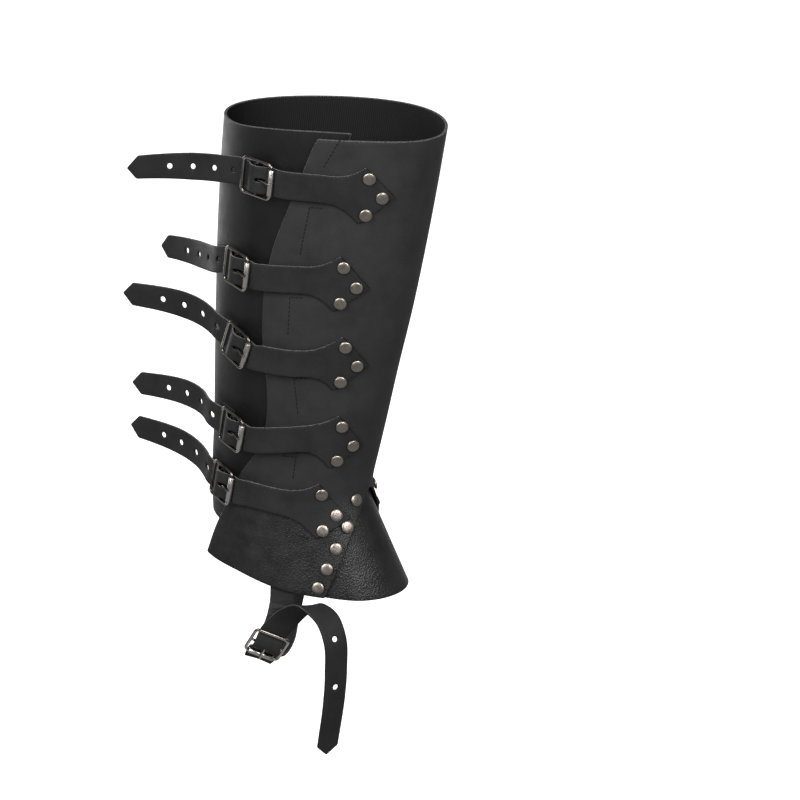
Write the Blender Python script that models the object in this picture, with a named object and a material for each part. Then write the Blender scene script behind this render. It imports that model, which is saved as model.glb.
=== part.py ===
"""Leg armour: one leather greave that wraps the shin, laps on its outer side and closes with five buckled
straps. A toe gusset is riveted into the cut at its front, and a buckled strap passes under the foot.

Metres, +Z up the leg, +X towards the toes and -Y towards the buckled outer side. The origin is on the leg's
axis at the ankle. An angle round the leg is in degrees from the toes, positive over the inner side, so the
leather sheet starts at its lapped-over edge at about -100, passes the toes at 0, the inner side at 90 and the
calf at 180, and ends under itself at about 280.
"""

import bisect
import math

import bmesh
import bpy
import numpy as np
from mathutils import Vector
from mathutils.geometry import delaunay_2d_cdt

# Driving dimensions: the leg form that the leather is bent round
RIM_HEIGHT = 0.3015
TOP_LENGTH = 0.179
TOP_WIDTH = 0.120
ANKLE_LENGTH = 0.1322
ANKLE_WIDTH = 0.0924
CALF_LEAN = 0.0405
TOE_DROP = 0.080
HEEL_DROP = 0.029
TOE_FLARE = 0.44
FLARE_BEND = 0.014
RIM_DIP = 0.007

# Driving dimensions: leather
LEATHER = 0.0022
STRAP_LEATHER = 0.0018
CHAPE_LEATHER = 0.0012
GAP = 0.0003
UNDER_LAP = 0.026
GUSSET_LAP = 0.017
GUSSET_RISE = 0.012

# Driving dimensions: straps
STRAP_WIDTH = 0.022
PLATE_HEIGHT = 0.0450
PLATE_LENGTH = 0.026
PLATE_NECK = 0.026
TAIL_LENGTH = 0.118
TAIL_POINT = 0.008
TAIL_CORNER = 0.019
HOLE_DIAMETER = 0.0046
PRONG_HOLE_SHIFT = 0.0047
PRONG_HOLE_LENGTH = 0.0070
PRONG_HOLE_WIDTH = 0.0034
FIRST_HOLE = 0.024
HOLE_SPACING = 0.020

# Driving dimensions: rivets
RIVET_HEAD = 0.0100
RIVET_DOME = 0.0022
RIVET_RIM = 0.0007
RIVET_SHANK = 0.0026
RIVET_HOLE = 0.0042
SEAM_RIVET_HOLE = 0.0048
SEAM_RIVET_EDGE = 0.0065
SEAM_RIVET_LIFT = 0.0008
LAPPED_RIVET_LIFT = 0.0026

# Driving dimensions: buckles
BUCKLE_WIRE = 0.0026
BUCKLE_CORNER = 0.0032
ROLLER_LENGTH = 0.0208
BUCKLE_REACH = 0.0135
CENTRE_BAR = 0.0022
ROLLER_WALL = 0.0007
PRONG_WIRE = 0.0018
PRONG_EYE_WIRE = 0.0012
BUCKLE_SLACK = 0.0016
CHAPE_LENGTH = 0.022
CHAPE_BEND = 0.0080
CHAPE_MARGIN = 0.0015
CHAPE_SLOT = 0.0050

# Driving dimensions: foot strap
STUB_ANGLE = -80.0
STUB_RISE = 0.016
STUB_DROP = 0.0480
STUB_SET_BACK = 0.0115
STUB_SET_OUT = 0.0035
FOOT_ROOT_ANGLE = 104.0
FOOT_ROOT_RISE = 0.020
FOOT_LOOP_SHIFT = 0.0147
FOOT_LOOP_HALF = 0.0500
FOOT_LOOP_DROP = 0.1440
FOOT_TAIL_REACH = 0.0677
FOOT_TAIL_OUT = 0.0790
FOOT_TAIL_DROP = 0.1990
FOOT_HOLE_SPACING = 0.040
FOOT_HOLE_START = 0.060
FOOT_BUCKLE_DOWN = (-0.517, 0.292, -0.802)
FOOT_BUCKLE_OUT = (0.175, -0.880, -0.433)

WIRE_SIDES = 6
ROUND_SIDES = 8
HOLE_SIDES = 8
RIVET_HOLE_SIDES = 6
EYE_SIDES = 7
SHELL_STEP = 10.0
FRONT_STEP = 6.0
SKIRT_STEP = 0.022
LEG_STEP = 0.048
FLAP_STEP = 0.030
STRAP_STEP = 0.0095
BEND_STEP = 0.0034

# Leg sections from ankle to rim: height share, bulge share of the growth in length, lean share
LEG_SECTIONS = np.array(
    [
        (0.000, 0.000, 0.000),
        (0.167, 0.188, 0.188),
        (0.333, 0.393, 0.348),
        (0.500, 0.611, 0.521),
        (0.667, 0.786, 0.679),
        (0.833, 0.915, 0.837),
        (1.000, 1.000, 1.000),
    ]
)

# Skirt below the ankle: sheet angle, flare share, hem share between the heel's drop and the toe's
SKIRT = np.array(
    [
        (-160, 0.61, 0.35),
        (-137, 0.55, 0.51),
        (-108, 0.41, 0.67),
        (-87, 0.36, 0.82),
        (-70, 0.40, 0.90),
        (-53, 0.50, 0.95),
        (-30, 0.77, 1.00),
        (0, 1.00, 1.00),
        (30, 0.77, 1.00),
        (53, 0.50, 0.95),
        (90, 0.32, 0.90),
        (110, 0.20, 0.84),
        (130, 0.09, 0.63),
        (155, 0.00, 0.22),
        (170, -0.05, 0.06),
        (190, -0.05, 0.00),
        (220, -0.05, 0.08),
        (300, -0.05, 0.30),
    ]
)

# Rim: sheet angle, share of the dip
RIM = np.array(
    [
        (-100, 0.50),
        (-60, 0.62),
        (-20, 1.00),
        (0, 0.90),
        (20, 0.45),
        (45, 0.05),
        (120, 0.00),
        (180, 0.10),
        (222, 0.45),
        (252, 0.05),
        (275, -0.20),
        (300, -0.10),
    ]
)

# Edge of the outer flap: height share of the rim height, sheet angle
FLAP_EDGE = np.array(
    [
        (-0.27, -141),
        (-0.18, -137),
        (-0.11, -133),
        (-0.05, -127),
        (0.05, -115),
        (0.12, -103.5),
        (0.20, -98.5),
        (0.30, -99.5),
        (0.43, -105.3),
        (0.55, -106.8),
        (0.67, -104),
        (0.82, -95),
        (1.00, -84.5),
    ]
)

# Front cut: share of the toe's drop, half its opening in degrees
FRONT_CUT = np.array(
    [
        (1.06, 55.0),
        (0.97, 52.6),
        (0.72, 44.6),
        (0.57, 39.3),
        (0.41, 33.1),
        (0.27, 25.4),
        (0.11, 16.1),
        (0.02, 7.5),
        (-0.02, 0.0),
    ]
)

# Rivets down each side of the front cut: shares of the toe's drop. One of them laps over a strap's edge
SEAM_RIVET_SHARES = (0.048, 0.284, 0.484, 0.680, 0.865)
LAPPED_RIVET = ("outer", 1)

# Straps, top to bottom: name, angle and height of the plate's tip, angle and height of the buckle. Then the
# centre line's rise over the buckle, in shares of the strap's width: at the plate's corners, halfway to the
# buckle, and at the left bar (the roller's is the same the other way). Then how far the strap stands off the
# leg, and the buckle's turn off it in degrees. Then the tail: its wrap in shares of its length, its last
# heading in degrees, how the turn to it is spread, and its rise at the first hole and at the tip
STRAPS = (
    ("1", -39.0, 0.2517, -114.0, 0.2627, -0.37, -0.14, 0.08, 0.0006, 0.0, 0.14, -19, 1.24, 0.00, -0.33),
    ("2", -46.0, 0.1785, -124.0, 0.1867, -0.17, -0.05, 0.10, 0.0010, 7.0, 0.29, 21, 1.15, -0.13, -0.52),
    ("3", -35.7, 0.1132, -120.6, 0.1247, -0.35, -0.34, 0.24, 0.0020, 8.0, 0.24, -10, 0.66, 0.58, 0.96),
    ("4", -26.2, 0.0433, -119.2, 0.0544, -0.20, 0.04, 0.14, 0.0045, 11.0, 0.30, -1, 0.62, 0.38, 0.48),
    ("5", -30.5, -0.0165, -126.8, 0.0053, -0.62, -0.30, 0.10, 0.0016, 9.0, 0.21, 9, 0.52, 0.43, 0.81),
)

# Foot strap from the inner hem under the foot: shares of the loop's shift back, half width and drop
FOOT_LOOP = (
    (-1.00, 1.00, 0.61),
    (-1.00, 0.80, 0.75),
    (-0.93, 0.40, 0.91),
    (-0.66, 0.00, 0.98),
    (-0.56, -0.44, 1.00),
    (-0.55, -0.76, 0.97),
)

# Foot strap's tail past its buckle: shares of its reach, set-out and drop, and the way across it
FOOT_TAIL = (
    (0.180, 0.765, 0.520, 0.83, 0.40, -0.38),
    (0.384, 0.785, 0.447, 0.80, 0.50, -0.25),
    (0.604, 0.854, 0.397, 0.72, 0.68, -0.10),
    (0.861, 0.924, 0.427, 0.65, 0.76, 0.00),
    (0.979, 0.968, 0.503, 0.62, 0.79, 0.00),
    (1.000, 0.987, 0.628, 0.62, 0.79, 0.00),
    (0.970, 0.996, 0.779, 0.62, 0.79, 0.00),
    (0.913, 1.000, 0.912, 0.62, 0.79, 0.00),
    (0.873, 1.000, 1.000, 0.62, 0.79, 0.00),
)

BLACK_LEATHER = ("black_leather", (0.040, 0.040, 0.041), 0.55, 0.0)
DARK_NICKEL = ("dark_nickel", (0.32, 0.30, 0.28), 0.32, 1.0)
ANTIQUE_NICKEL = ("antique_nickel", (0.42, 0.38, 0.34), 0.38, 1.0)


# Tables and the leg form


CURVES = {}


def smooth(x, table, column):
    """Value of a table's column at x, on a cubic curve through its rows."""
    key = (id(table), column)
    if key not in CURVES:
        rows = sorted((float(row[0]), float(row[column])) for row in table)
        knots, values = zip(*rows)
        CURVES[key] = (table, knots, values, np.gradient(values, knots).tolist())
    _, knots, values, slopes = CURVES[key]
    x = min(max(x, knots[0]), knots[-1])
    i = min(bisect.bisect_right(knots, x) - 1, len(knots) - 2)
    span = knots[i + 1] - knots[i]
    u = (x - knots[i]) / span
    return (
        values[i] * (1 + 2 * u) * (1 - u) ** 2
        + slopes[i] * span * u * (1 - u) ** 2
        + values[i + 1] * u * u * (3 - 2 * u)
        + slopes[i + 1] * span * u * u * (u - 1)
    )


def ease(x, low, high):
    u = min(max((x - low) / (high - low), 0.0), 1.0)
    return u * u * (3 - 2 * u)


def half_axes(height):
    """Centre, half length and half width of the leg form at a height."""
    share = min(max(height / RIM_HEIGHT, 0.0), 1.0)
    length = ANKLE_LENGTH + (TOP_LENGTH - ANKLE_LENGTH) * smooth(share, LEG_SECTIONS, 1)
    width = ANKLE_WIDTH + (TOP_WIDTH - ANKLE_WIDTH) * share
    return CALF_LEAN * smooth(share, LEG_SECTIONS, 2), length / 2, width / 2


def below_ankle(height):
    """Distance below the ankle, eased in over the bend where the skirt starts to flare."""
    if abs(height) < FLARE_BEND:
        return (FLARE_BEND - height) ** 2 / (4 * FLARE_BEND)
    return max(0.0, -height)


def form_point(angle, height):
    """Point on the leather's outer face. Below the ankle the skirt flares."""
    centre, a, b = half_axes(height)
    turn = math.radians(angle)
    sideways = Vector((math.cos(turn) * b, math.sin(turn) * a, 0)).normalized()
    flare = TOE_FLARE * smooth(angle, SKIRT, 1) * below_ankle(height)
    return Vector((centre + a * math.cos(turn), b * math.sin(turn), height)) + sideways * flare


def form_normal(angle, height):
    """Direction out of the leather, square to its face."""
    around = form_point(angle + 0.5, height) - form_point(angle - 0.5, height)
    upward = form_point(angle, height + 0.001) - form_point(angle, height - 0.001)
    return around.cross(upward).normalized()


def leg_point(angle, height, out=0.0):
    """Point at a distance outside the leather's outer face."""
    return form_point(angle, height) + form_normal(angle, height) * out


def under_inset(angle):
    """The end of the sheet dips under its start by one leather and a gap."""
    return (LEATHER + 2 * GAP) * ease(angle, 190, 238)


def arc_radius(angle, height):
    """Metres of leather per radian round the leg."""
    _, a, b = half_axes(height)
    turn = math.radians(angle)
    return math.hypot(a * math.sin(turn), b * math.cos(turn))


def hem_height(angle):
    return -(HEEL_DROP + (TOE_DROP - HEEL_DROP) * smooth(angle, SKIRT, 2))


def rim_height(angle):
    return RIM_HEIGHT - RIM_DIP * smooth(angle, RIM, 1)


def flap_angle(height):
    return smooth(height / RIM_HEIGHT, FLAP_EDGE, 1)


def under_angle(height):
    edge = flap_angle(height)
    return 360 + edge + math.degrees(UNDER_LAP / arc_radius(edge, height))


def cut_angle(height):
    """Half the opening of the front cut at a height below its top."""
    return smooth(-height / TOE_DROP, FRONT_CUT, 1)


# Mesh tools


def material(look):
    name, colour, roughness, metallic = look
    found = bpy.data.materials.get(name)
    if found:
        return found
    made = bpy.data.materials.new(name)
    made.use_nodes = True
    shader = made.node_tree.nodes["Principled BSDF"]
    shader.inputs["Base Color"].default_value = (*colour, 1.0)
    shader.inputs["Roughness"].default_value = roughness
    shader.inputs["Metallic"].default_value = metallic
    return made


def add_object(name, points, faces, look, sharp=40.0):
    mesh = bpy.data.meshes.new(name)
    mesh.from_pydata([tuple(p) for p in points], [], faces)
    mesh.validate()
    work = bmesh.new()
    work.from_mesh(mesh)
    bmesh.ops.recalc_face_normals(work, faces=work.faces)
    bmesh.ops.triangulate(work, faces=work.faces)
    work.to_mesh(mesh)
    work.free()
    mesh.shade_smooth()
    mesh.set_sharp_from_angle(angle=math.radians(sharp))
    mesh.materials.append(material(look))
    made = bpy.data.objects.new(name, mesh)
    bpy.context.collection.objects.link(made)
    return made


def oval(centre, length, width, sides):
    turns = [2 * math.pi * k / sides for k in range(sides)]
    x, y = centre
    return [(x + length / 2 * math.cos(u), y + width / 2 * math.sin(u)) for u in turns]


def circle(centre, diameter, sides):
    return oval(centre, diameter, diameter, sides)


def inside(point, loop):
    """Even-odd test of a point against a closed outline."""
    x, y = point
    found = False
    for (x1, y1), (x2, y2) in zip(loop, loop[1:] + loop[:1]):
        if (y1 > y) != (y2 > y) and x < x1 + (y - y1) * (x2 - x1) / (y2 - y1):
            found = not found
    return found


def split_at_columns(loop, columns, closest):
    """The outline with a point wherever it crosses a column, unless a corner is that near already."""
    points = []
    for (x1, y1), (x2, y2) in zip(loop, loop[1:] + loop[:1]):
        points.append((x1, y1))
        if abs(x2 - x1) < 1e-9:
            continue
        shares = sorted((c - x1) / (x2 - x1) for c in columns if min(x1, x2) < c < max(x1, x2))
        for share in shares:
            if closest < abs(share * (x2 - x1)) < abs(x2 - x1) - closest:
                points.append((x1 + share * (x2 - x1), y1 + share * (y2 - y1)))
    return points


def spread(low, high, step):
    """Evenly spaced numbers from low to high, no further apart than a step."""
    count = max(1, math.ceil((high - low) / step - 1e-6))
    return [low + (high - low) * k / count for k in range(count + 1)]


def bend_lines(loops, columns):
    """Edges straight across a piece, on its columns that meet only its outline, and that twice."""
    lines = []
    for column in columns:
        ends = [i for i, point in enumerate(loops[0]) if abs(point[0] - column) < 1e-9]
        crossed = [hole for hole in loops[1:] if min(hole)[0] < column < max(hole)[0]]
        if len(ends) == 2 and not crossed:
            lines.append(tuple(ends))
    return lines


def cut_flat(outline, holes, columns, inner):
    """Triangles of a flat outline with holes, split along its columns, with the inner points that fit."""
    closest = 0.2 * min(b - a for a, b in zip(columns, columns[1:]))
    loops = [split_at_columns(outline, columns, closest)] + [list(hole) for hole in holes]
    points = [p for loop in loops for p in loop]
    edges = []
    first = 0
    for loop in loops:
        edges += [(first + k, first + (k + 1) % len(loop)) for k in range(len(loop))]
        first += len(loop)
    edges += bend_lines(loops, columns)
    border = np.array(points)
    for x, y in inner:
        if not inside((x, y), loops[0]) or any(inside((x, y), hole) for hole in loops[1:]):
            continue
        if np.hypot(border[:, 0] - x, border[:, 1] - y).min() > 1.6 * closest:
            points.append((x, y))
    flat, _, faces, _, _, _ = delaunay_2d_cdt([Vector(p) for p in points], edges, [], 2, 1e-7)
    kept = []
    for face in faces:
        middle = sum((flat[i] for i in face), Vector((0, 0))) / len(face)
        if not any(inside(middle, hole) for hole in loops[1:]):
            kept.append(list(face))
    return flat, kept


def thickened(flat, faces, place, layers):
    """Closed body between the two faces that place(x, y, depth) gives at the two depths."""
    count = len(flat)
    points = [place(p.x, p.y, depth) for depth in layers for p in flat]
    used = {(a, b) for face in faces for a, b in zip(face, face[1:] + face[:1])}
    rim = [(a, b) for a, b in used if (b, a) not in used]
    solid = faces + [[i + count for i in reversed(face)] for face in faces]
    solid += [[b, a, a + count, b + count] for a, b in sorted(rim)]
    return points, solid


def sheet(name, outline, place, thickness, columns, inner, holes=()):
    """A leather piece: a flat outline with holes, bent into place by place(x, y, depth under its outer face)."""
    flat, faces = cut_flat(outline, holes, columns, inner)
    points, solid = thickened(flat, faces, place, (0.0, thickness))
    return add_object(name, points, solid, BLACK_LEATHER)


def tube_mesh(path, radii, sides, closed=False):
    """Points and faces of a round bar along a path, with flat ends unless it closes on itself."""
    count = len(path)
    points = []
    side = None
    for i, spot in enumerate(path):
        ahead = path[(i + 1) % count] if closed or i + 1 < count else spot
        behind = path[i - 1] if closed or i else spot
        along = (ahead - behind).normalized()
        if side is None:
            side = along.orthogonal().normalized()
        side = (side - along * side.dot(along)).normalized()
        other = along.cross(side)
        turns = [2 * math.pi * (k + 0.5) / sides for k in range(sides)]
        points += [spot + (side * math.cos(u) + other * math.sin(u)) * radii[i] for u in turns]
    faces = []
    for i in range(count if closed else count - 1):
        near, far = i * sides, (i + 1) % count * sides
        for k in range(sides):
            after = (k + 1) % sides
            faces.append([near + k, near + after, far + after, far + k])
    if not closed:
        faces.append(list(range(sides))[::-1])
        faces.append([(count - 1) * sides + k for k in range(sides)])
    return points, faces


def combined(name, shapes, look, operations):
    """One object from closed shapes: each later one is joined to the first or cut from it."""
    made = [add_object(f"{name}_{i}", points, faces, look) for i, (points, faces) in enumerate(shapes)]
    body = made[0]
    body.name = name
    for other, operation in zip(made[1:], operations):
        change = body.modifiers.new(other.name, "BOOLEAN")
        change.operation = operation
        change.object = other
        other.hide_render = True
        other.display_type = "WIRE"
    return body


class Seat:
    """A small part's own frame: its middle, a direction along, one across, and one out of it."""

    def __init__(self, middle, along, out):
        self.middle = middle
        self.out = out.normalized()
        self.along = (along - self.out * along.dot(self.out)).normalized()
        self.across = self.out.cross(self.along)

    def point(self, along, across, out):
        return self.middle + self.along * along + self.across * across + self.out * out


# Shell and gusset

PATTERN_RADIUS = (TOP_LENGTH + TOP_WIDTH) / 4


def to_pattern(angle, height):
    return (math.radians(angle) * PATTERN_RADIUS, height)


def shell_place(x, height, depth):
    angle = math.degrees(x / PATTERN_RADIUS)
    return leg_point(angle, height, -under_inset(angle) - depth)


def gusset_place(x, height, depth):
    angle = math.degrees(x / PATTERN_RADIUS)
    return leg_point(angle, height, -LEATHER - 5 * GAP - depth)


def meeting_angle(start, edge):
    """The angle where an edge whose angle depends on the height meets the hem."""
    angle = start
    for _ in range(60):
        angle += 0.5 * (edge(hem_height(angle)) - angle)
    return angle


def column_angles(low, high):
    """Bend lines of the shell: closer together round the toes, where the skirt turns most."""
    wide = math.radians(1) * PATTERN_RADIUS
    coarse = [a for a in np.arange(-180, 360, SHELL_STEP) if low - 1 < a < high + 1 and abs(a) > 63]
    fine = [a for a in np.arange(-60, 61, FRONT_STEP) if low - 1 < a < high + 1]
    return [float(a) * wide for a in sorted(coarse + fine)]


def shell_rows():
    """Heights of the shell's bends: close together where the skirt starts to flare."""
    rows = spread(-TOE_DROP, -FLARE_BEND, SKIRT_STEP)[1:]
    rows += [-FLARE_BEND / 3, FLARE_BEND / 3]
    return rows + spread(FLARE_BEND, RIM_HEIGHT, LEG_STEP)[:-1]


def build_shell(holes):
    foot = meeting_angle(-137.0, flap_angle)
    cut = meeting_angle(52.0, cut_angle)
    end = meeting_angle(270.0, under_angle)
    rim_start = flap_angle(RIM_HEIGHT)
    rim_end = under_angle(RIM_HEIGHT)
    cut_side = [(row[1], -row[0] * TOE_DROP) for row in FRONT_CUT if 0.0 < row[0] < 0.95]
    top = -FRONT_CUT[-1, 0] * TOE_DROP
    outline = [(a, hem_height(a)) for a in spread(foot, -cut, SHELL_STEP)]
    outline += [(-a, h) for a, h in cut_side] + [(0.0, top)] + cut_side[::-1]
    outline += [(a, hem_height(a)) for a in spread(cut, end, SHELL_STEP)]
    rows = shell_rows()
    outline += [(under_angle(h), h) for h in rows if hem_height(end) < h - 0.004]
    outline += [(a, rim_height(a)) for a in reversed(spread(rim_start, rim_end, SHELL_STEP))]
    heights = sorted(rows + [(a + b) / 2 for a, b in zip(rows, rows[1:]) if b - a > FLAP_STEP])
    outline += [(flap_angle(h), h) for h in reversed(heights) if hem_height(foot) < h - 0.004]
    flat = [to_pattern(a, h) for a, h in outline]
    columns = column_angles(foot, rim_end + 40)
    inner = [(x, y) for x in columns for y in rows]
    return sheet("shell", flat, shell_place, LEATHER, columns, inner, holes)


def build_gusset(holes):
    lap = math.degrees(GUSSET_LAP / arc_radius(45, 0))
    cut = meeting_angle(52.0, cut_angle)
    heights = [-TOE_DROP * share for share in (0.72, 0.57, 0.41, 0.27, 0.11)]
    left = [(-cut - lap * 0.7, hem_height(cut) + 0.003)]
    left += [(-cut_angle(h) - lap, h) for h in heights]
    left += [(-cut_angle(heights[-1]) * 0.8 - lap * 0.5, GUSSET_RISE)]
    hem = [(a, hem_height(a)) for a in spread(-cut + 2, cut - 2, FRONT_STEP)]
    outline = hem + [(-a, h) for a, h in left] + left[::-1]
    flat = [to_pattern(a, h) for a, h in outline]
    columns = column_angles(-cut - lap, cut + lap)
    inner = [(x, y) for x in columns for y in shell_rows()]
    return sheet("toe_gusset", flat, gusset_place, LEATHER, columns, inner, holes)


# Straps


def roller_radius():
    return BUCKLE_WIRE / 2 + GAP + ROLLER_WALL


def weave(along):
    """How far the strap's middle lies outside the buckle's plane: under both bars and over the centre one."""
    under = -(roller_radius() + GAP + STRAP_LEATHER / 2)
    over = CENTRE_BAR / 2 + 2 * GAP + CHAPE_LEATHER + STRAP_LEATHER / 2
    left = -(BUCKLE_WIRE / 2 + GAP + STRAP_LEATHER / 2)
    if along < 0:
        rise = under * ease(along, -2.0 * BUCKLE_REACH, -BUCKLE_REACH)
        return rise + (over - under) * ease(along, -BUCKLE_REACH, -0.001)
    rise = over + (left - over) * ease(along, 0.001, BUCKLE_REACH)
    return rise - 0.6 * left * ease(along, BUCKLE_REACH, 2.2 * BUCKLE_REACH)


def plate_rivets():
    """Places of the three rivets of a strap's plate: distance from its tip, and up from its centre line."""
    side = PLATE_HEIGHT / 2 - 0.0080
    return ((0.0110, 0.0), (PLATE_LENGTH - 0.0035, side), (PLATE_LENGTH - 0.0045, -side))


class Strap:
    """One strap's way round the leg.

    Distances run from the buckle's centre: back to the plate's tip, which is at -reach, and on to the tip of
    the tail. Heights across the strap run from its centre line.
    """

    step = 0.0005

    def __init__(self, row):
        self.name, tip_angle, tip_height, self.angle, self.height = row[:5]
        corner, waist, tilt, self.stand, self.turn = row[5:10]
        wrap, last_heading, spread_turn, first_rise, tip_rise = row[10:]
        self.wrap = wrap * TAIL_LENGTH
        self.before = self.track(1, lambda angle, length: angle < tip_angle)
        self.after = self.track(-1, lambda angle, length: length < self.wrap)
        self.reach = (len(self.before) - 1) * self.step
        width = STRAP_WIDTH
        self.rises = np.array(
            [
                (-self.reach, tip_height - self.height),
                (PLATE_LENGTH - self.reach, corner * width),
                (-0.5 * self.reach, waist * width),
                (-1.6 * BUCKLE_REACH, -1.2 * tilt * width),
                (-BUCKLE_REACH, -tilt * width),
                (BUCKLE_REACH, tilt * width),
                (2 * HOLE_SPACING, first_rise * width),
                (TAIL_LENGTH, tip_rise * width),
            ]
        )
        self.buckle = self.seat()
        self.lay_tail(last_heading, spread_turn)

    def track(self, way, more):
        """Angles at even steps along the leg from the buckle, one way round."""
        angles = [self.angle]
        while more(angles[-1], (len(angles) - 1) * self.step):
            turn = math.degrees(self.step / arc_radius(angles[-1], self.height))
            angles.append(angles[-1] + way * turn)
        return angles

    def lay_tail(self, last_heading, spread_turn):
        """Plan of the tail past the leg, whose heading turns from the leg's to its last one."""
        leave = leg_point(self.after[-1], self.height, self.lifted())
        way = leave - leg_point(self.after[-1] + 0.4, self.height, self.lifted())
        first = math.atan2(way.y, -way.x)
        count = round((TAIL_LENGTH - self.wrap) / self.step)
        self.drop = leave.z - self.height
        self.free = [leave.xy]
        self.headings = [first]
        for i in range(count):
            heading = first + (math.radians(last_heading) - first) * (i / count) ** spread_turn
            ahead = Vector((-math.cos(heading), math.sin(heading)))
            self.free.append(self.free[-1] + ahead * self.step)
            self.headings.append(heading)

    def lifted(self):
        """Height of the buckle's plane over the shell's outer face."""
        return 2 * GAP + STRAP_LEATHER + 2 * roller_radius() - roller_radius() + self.stand

    def centre(self, along):
        return self.height + smooth(along, self.rises, 1)

    def lift(self, along):
        """Height of the strap's middle over the shell: laid on it at the plate, and at the buckle's plane."""
        laid = 2 * GAP + STRAP_LEATHER / 2
        plate_end = PLATE_LENGTH + 0.004 - self.reach
        share = ease(along, plate_end, -1.5 * BUCKLE_REACH)
        return laid + (self.lifted() - laid) * share + self.stand * math.sin(math.pi * share) ** 2

    def leg_angle(self, along):
        """Angle round the leg at a distance from the buckle, where the strap still follows the leg."""
        track = self.before if along < 0 else self.after
        place = min(abs(along) / self.step, len(track) - 1)
        low = int(place)
        high = min(low + 1, len(track) - 1)
        return track[low] + (track[high] - track[low]) * (place - low)

    def at(self, along, across, out=0.0):
        """Point of the strap's middle face, or a distance outside it."""
        height = self.centre(along) + across
        over = weave(along) + out
        if along <= self.wrap:
            spot = leg_point(self.leg_angle(along), height, self.lift(along) + over)
            straight = self.buckle.point(-along, across, over)
            return spot.lerp(straight, 1 - ease(abs(along), 1.1 * BUCKLE_REACH, 1.9 * BUCKLE_REACH))
        place = (along - self.wrap) / self.step
        low = min(int(place), len(self.free) - 2)
        spot = self.free[low].lerp(self.free[low + 1], place - low)
        heading = self.headings[low + 1]
        lean = form_point(self.after[-1], height) - form_point(self.after[-1], self.height)
        outward = Vector((-math.sin(heading), -math.cos(heading), 0))
        return Vector((spot.x, spot.y, self.drop)) + Vector((lean.x, lean.y, height)) + outward * over

    def holes(self):
        made = [oval((-PRONG_HOLE_SHIFT, 0.0), PRONG_HOLE_LENGTH, PRONG_HOLE_WIDTH, HOLE_SIDES)]
        made += [circle((FIRST_HOLE + HOLE_SPACING * k, 0.0), HOLE_DIAMETER, HOLE_SIDES) for k in range(4)]
        for x, y in plate_rivets():
            made.append(circle((x - self.reach, y), RIVET_HOLE, RIVET_HOLE_SIDES))
        return made

    def outline(self):
        half = STRAP_WIDTH / 2
        more = PLATE_HEIGHT / 2 - half
        neck = PLATE_LENGTH - self.reach
        edge = [(neck + PLATE_NECK * u, half + more * (1 - u) ** 2.2) for u in (0, 0.2, 0.45, 0.75, 1.0)]
        edge += [(TAIL_LENGTH * 0.55, half), (TAIL_LENGTH - TAIL_POINT, TAIL_CORNER / 2)]
        return [(-self.reach, 0.0)] + [(x, -y) for x, y in edge] + [(TAIL_LENGTH, 0.0)] + edge[::-1]

    def columns(self):
        bend = 2.0 * BUCKLE_REACH
        found = spread(STRAP_STEP - self.reach, -bend, STRAP_STEP)
        found += spread(-bend, bend, BEND_STEP)[1:]
        return found + spread(bend, TAIL_LENGTH - TAIL_POINT, STRAP_STEP)[1:]

    def build(self):
        def place(x, y, depth):
            return self.at(x, y, STRAP_LEATHER / 2 - depth)

        columns = self.columns()
        inner = [(x, 0.0) for x in columns if x < PLATE_LENGTH + PLATE_NECK - self.reach]
        return sheet(f"strap_{self.name}", self.outline(), place, STRAP_LEATHER, columns, inner, self.holes())

    def seat(self):
        """The buckle's frame, along towards the plate."""
        middle = leg_point(self.angle, self.height, self.lifted())
        ahead = leg_point(self.leg_angle(-BUCKLE_REACH), self.centre(-BUCKLE_REACH), self.lifted())
        behind = leg_point(self.leg_angle(BUCKLE_REACH), self.centre(BUCKLE_REACH), self.lifted())
        flat = Seat(middle, ahead - behind, form_normal(self.angle, self.height))
        turn = math.radians(self.turn)
        along = flat.along * math.cos(turn) + flat.out * math.sin(turn)
        return Seat(middle, along, flat.out * math.cos(turn) - flat.along * math.sin(turn))


class Ribbon:
    """A flat strap along a smooth route: stations with a point of its middle and the way across it there."""

    def __init__(self, stations):
        self.knots = [0.0]
        for (spot, _), (after, _) in zip(stations, stations[1:]):
            self.knots.append(self.knots[-1] + (after - spot).length)
        rows = [(knot, *spot, *across) for knot, (spot, across) in zip(self.knots, stations)]
        self.table = np.array(rows)
        self.length = self.knots[-1]

    def spot(self, along):
        return Vector([smooth(along, self.table, column) for column in (1, 2, 3)])

    def seat(self, along):
        """Frame with its first direction along the ribbon and its second one across it."""
        ahead = self.spot(along + 0.0005) - self.spot(along - 0.0005)
        across = Vector([smooth(along, self.table, column) for column in (4, 5, 6)])
        return Seat(self.spot(along), ahead, ahead.cross(across))

    def at(self, along, across, out=0.0):
        return self.seat(min(max(along, 0.0), self.length)).point(0, across, out)


# Buckles


def build_frame(name, seat):
    """Wire frame with rounded corners, and its centre bar."""
    half = STRAP_WIDTH / 2 + BUCKLE_WIRE / 2 + BUCKLE_SLACK
    path = []
    for sign_a, sign_b, start in ((1, 1, 0), (-1, 1, 90), (-1, -1, 180), (1, -1, 270)):
        for turn in (0, 45, 90):
            u = math.radians(start + turn)
            along = sign_a * (BUCKLE_REACH - BUCKLE_CORNER) + BUCKLE_CORNER * math.cos(u)
            across = sign_b * (half - BUCKLE_CORNER) + BUCKLE_CORNER * math.sin(u)
            path.append(seat.point(along, across, 0.0))
    wire = tube_mesh(path, [BUCKLE_WIRE / 2] * len(path), WIRE_SIDES, closed=True)
    ends = [seat.point(0, -half, 0), seat.point(0, half, 0)]
    bar = tube_mesh(ends, [CENTRE_BAR / 2] * 2, WIRE_SIDES)
    return combined(name, [wire, bar], DARK_NICKEL, ["UNION"])


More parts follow.
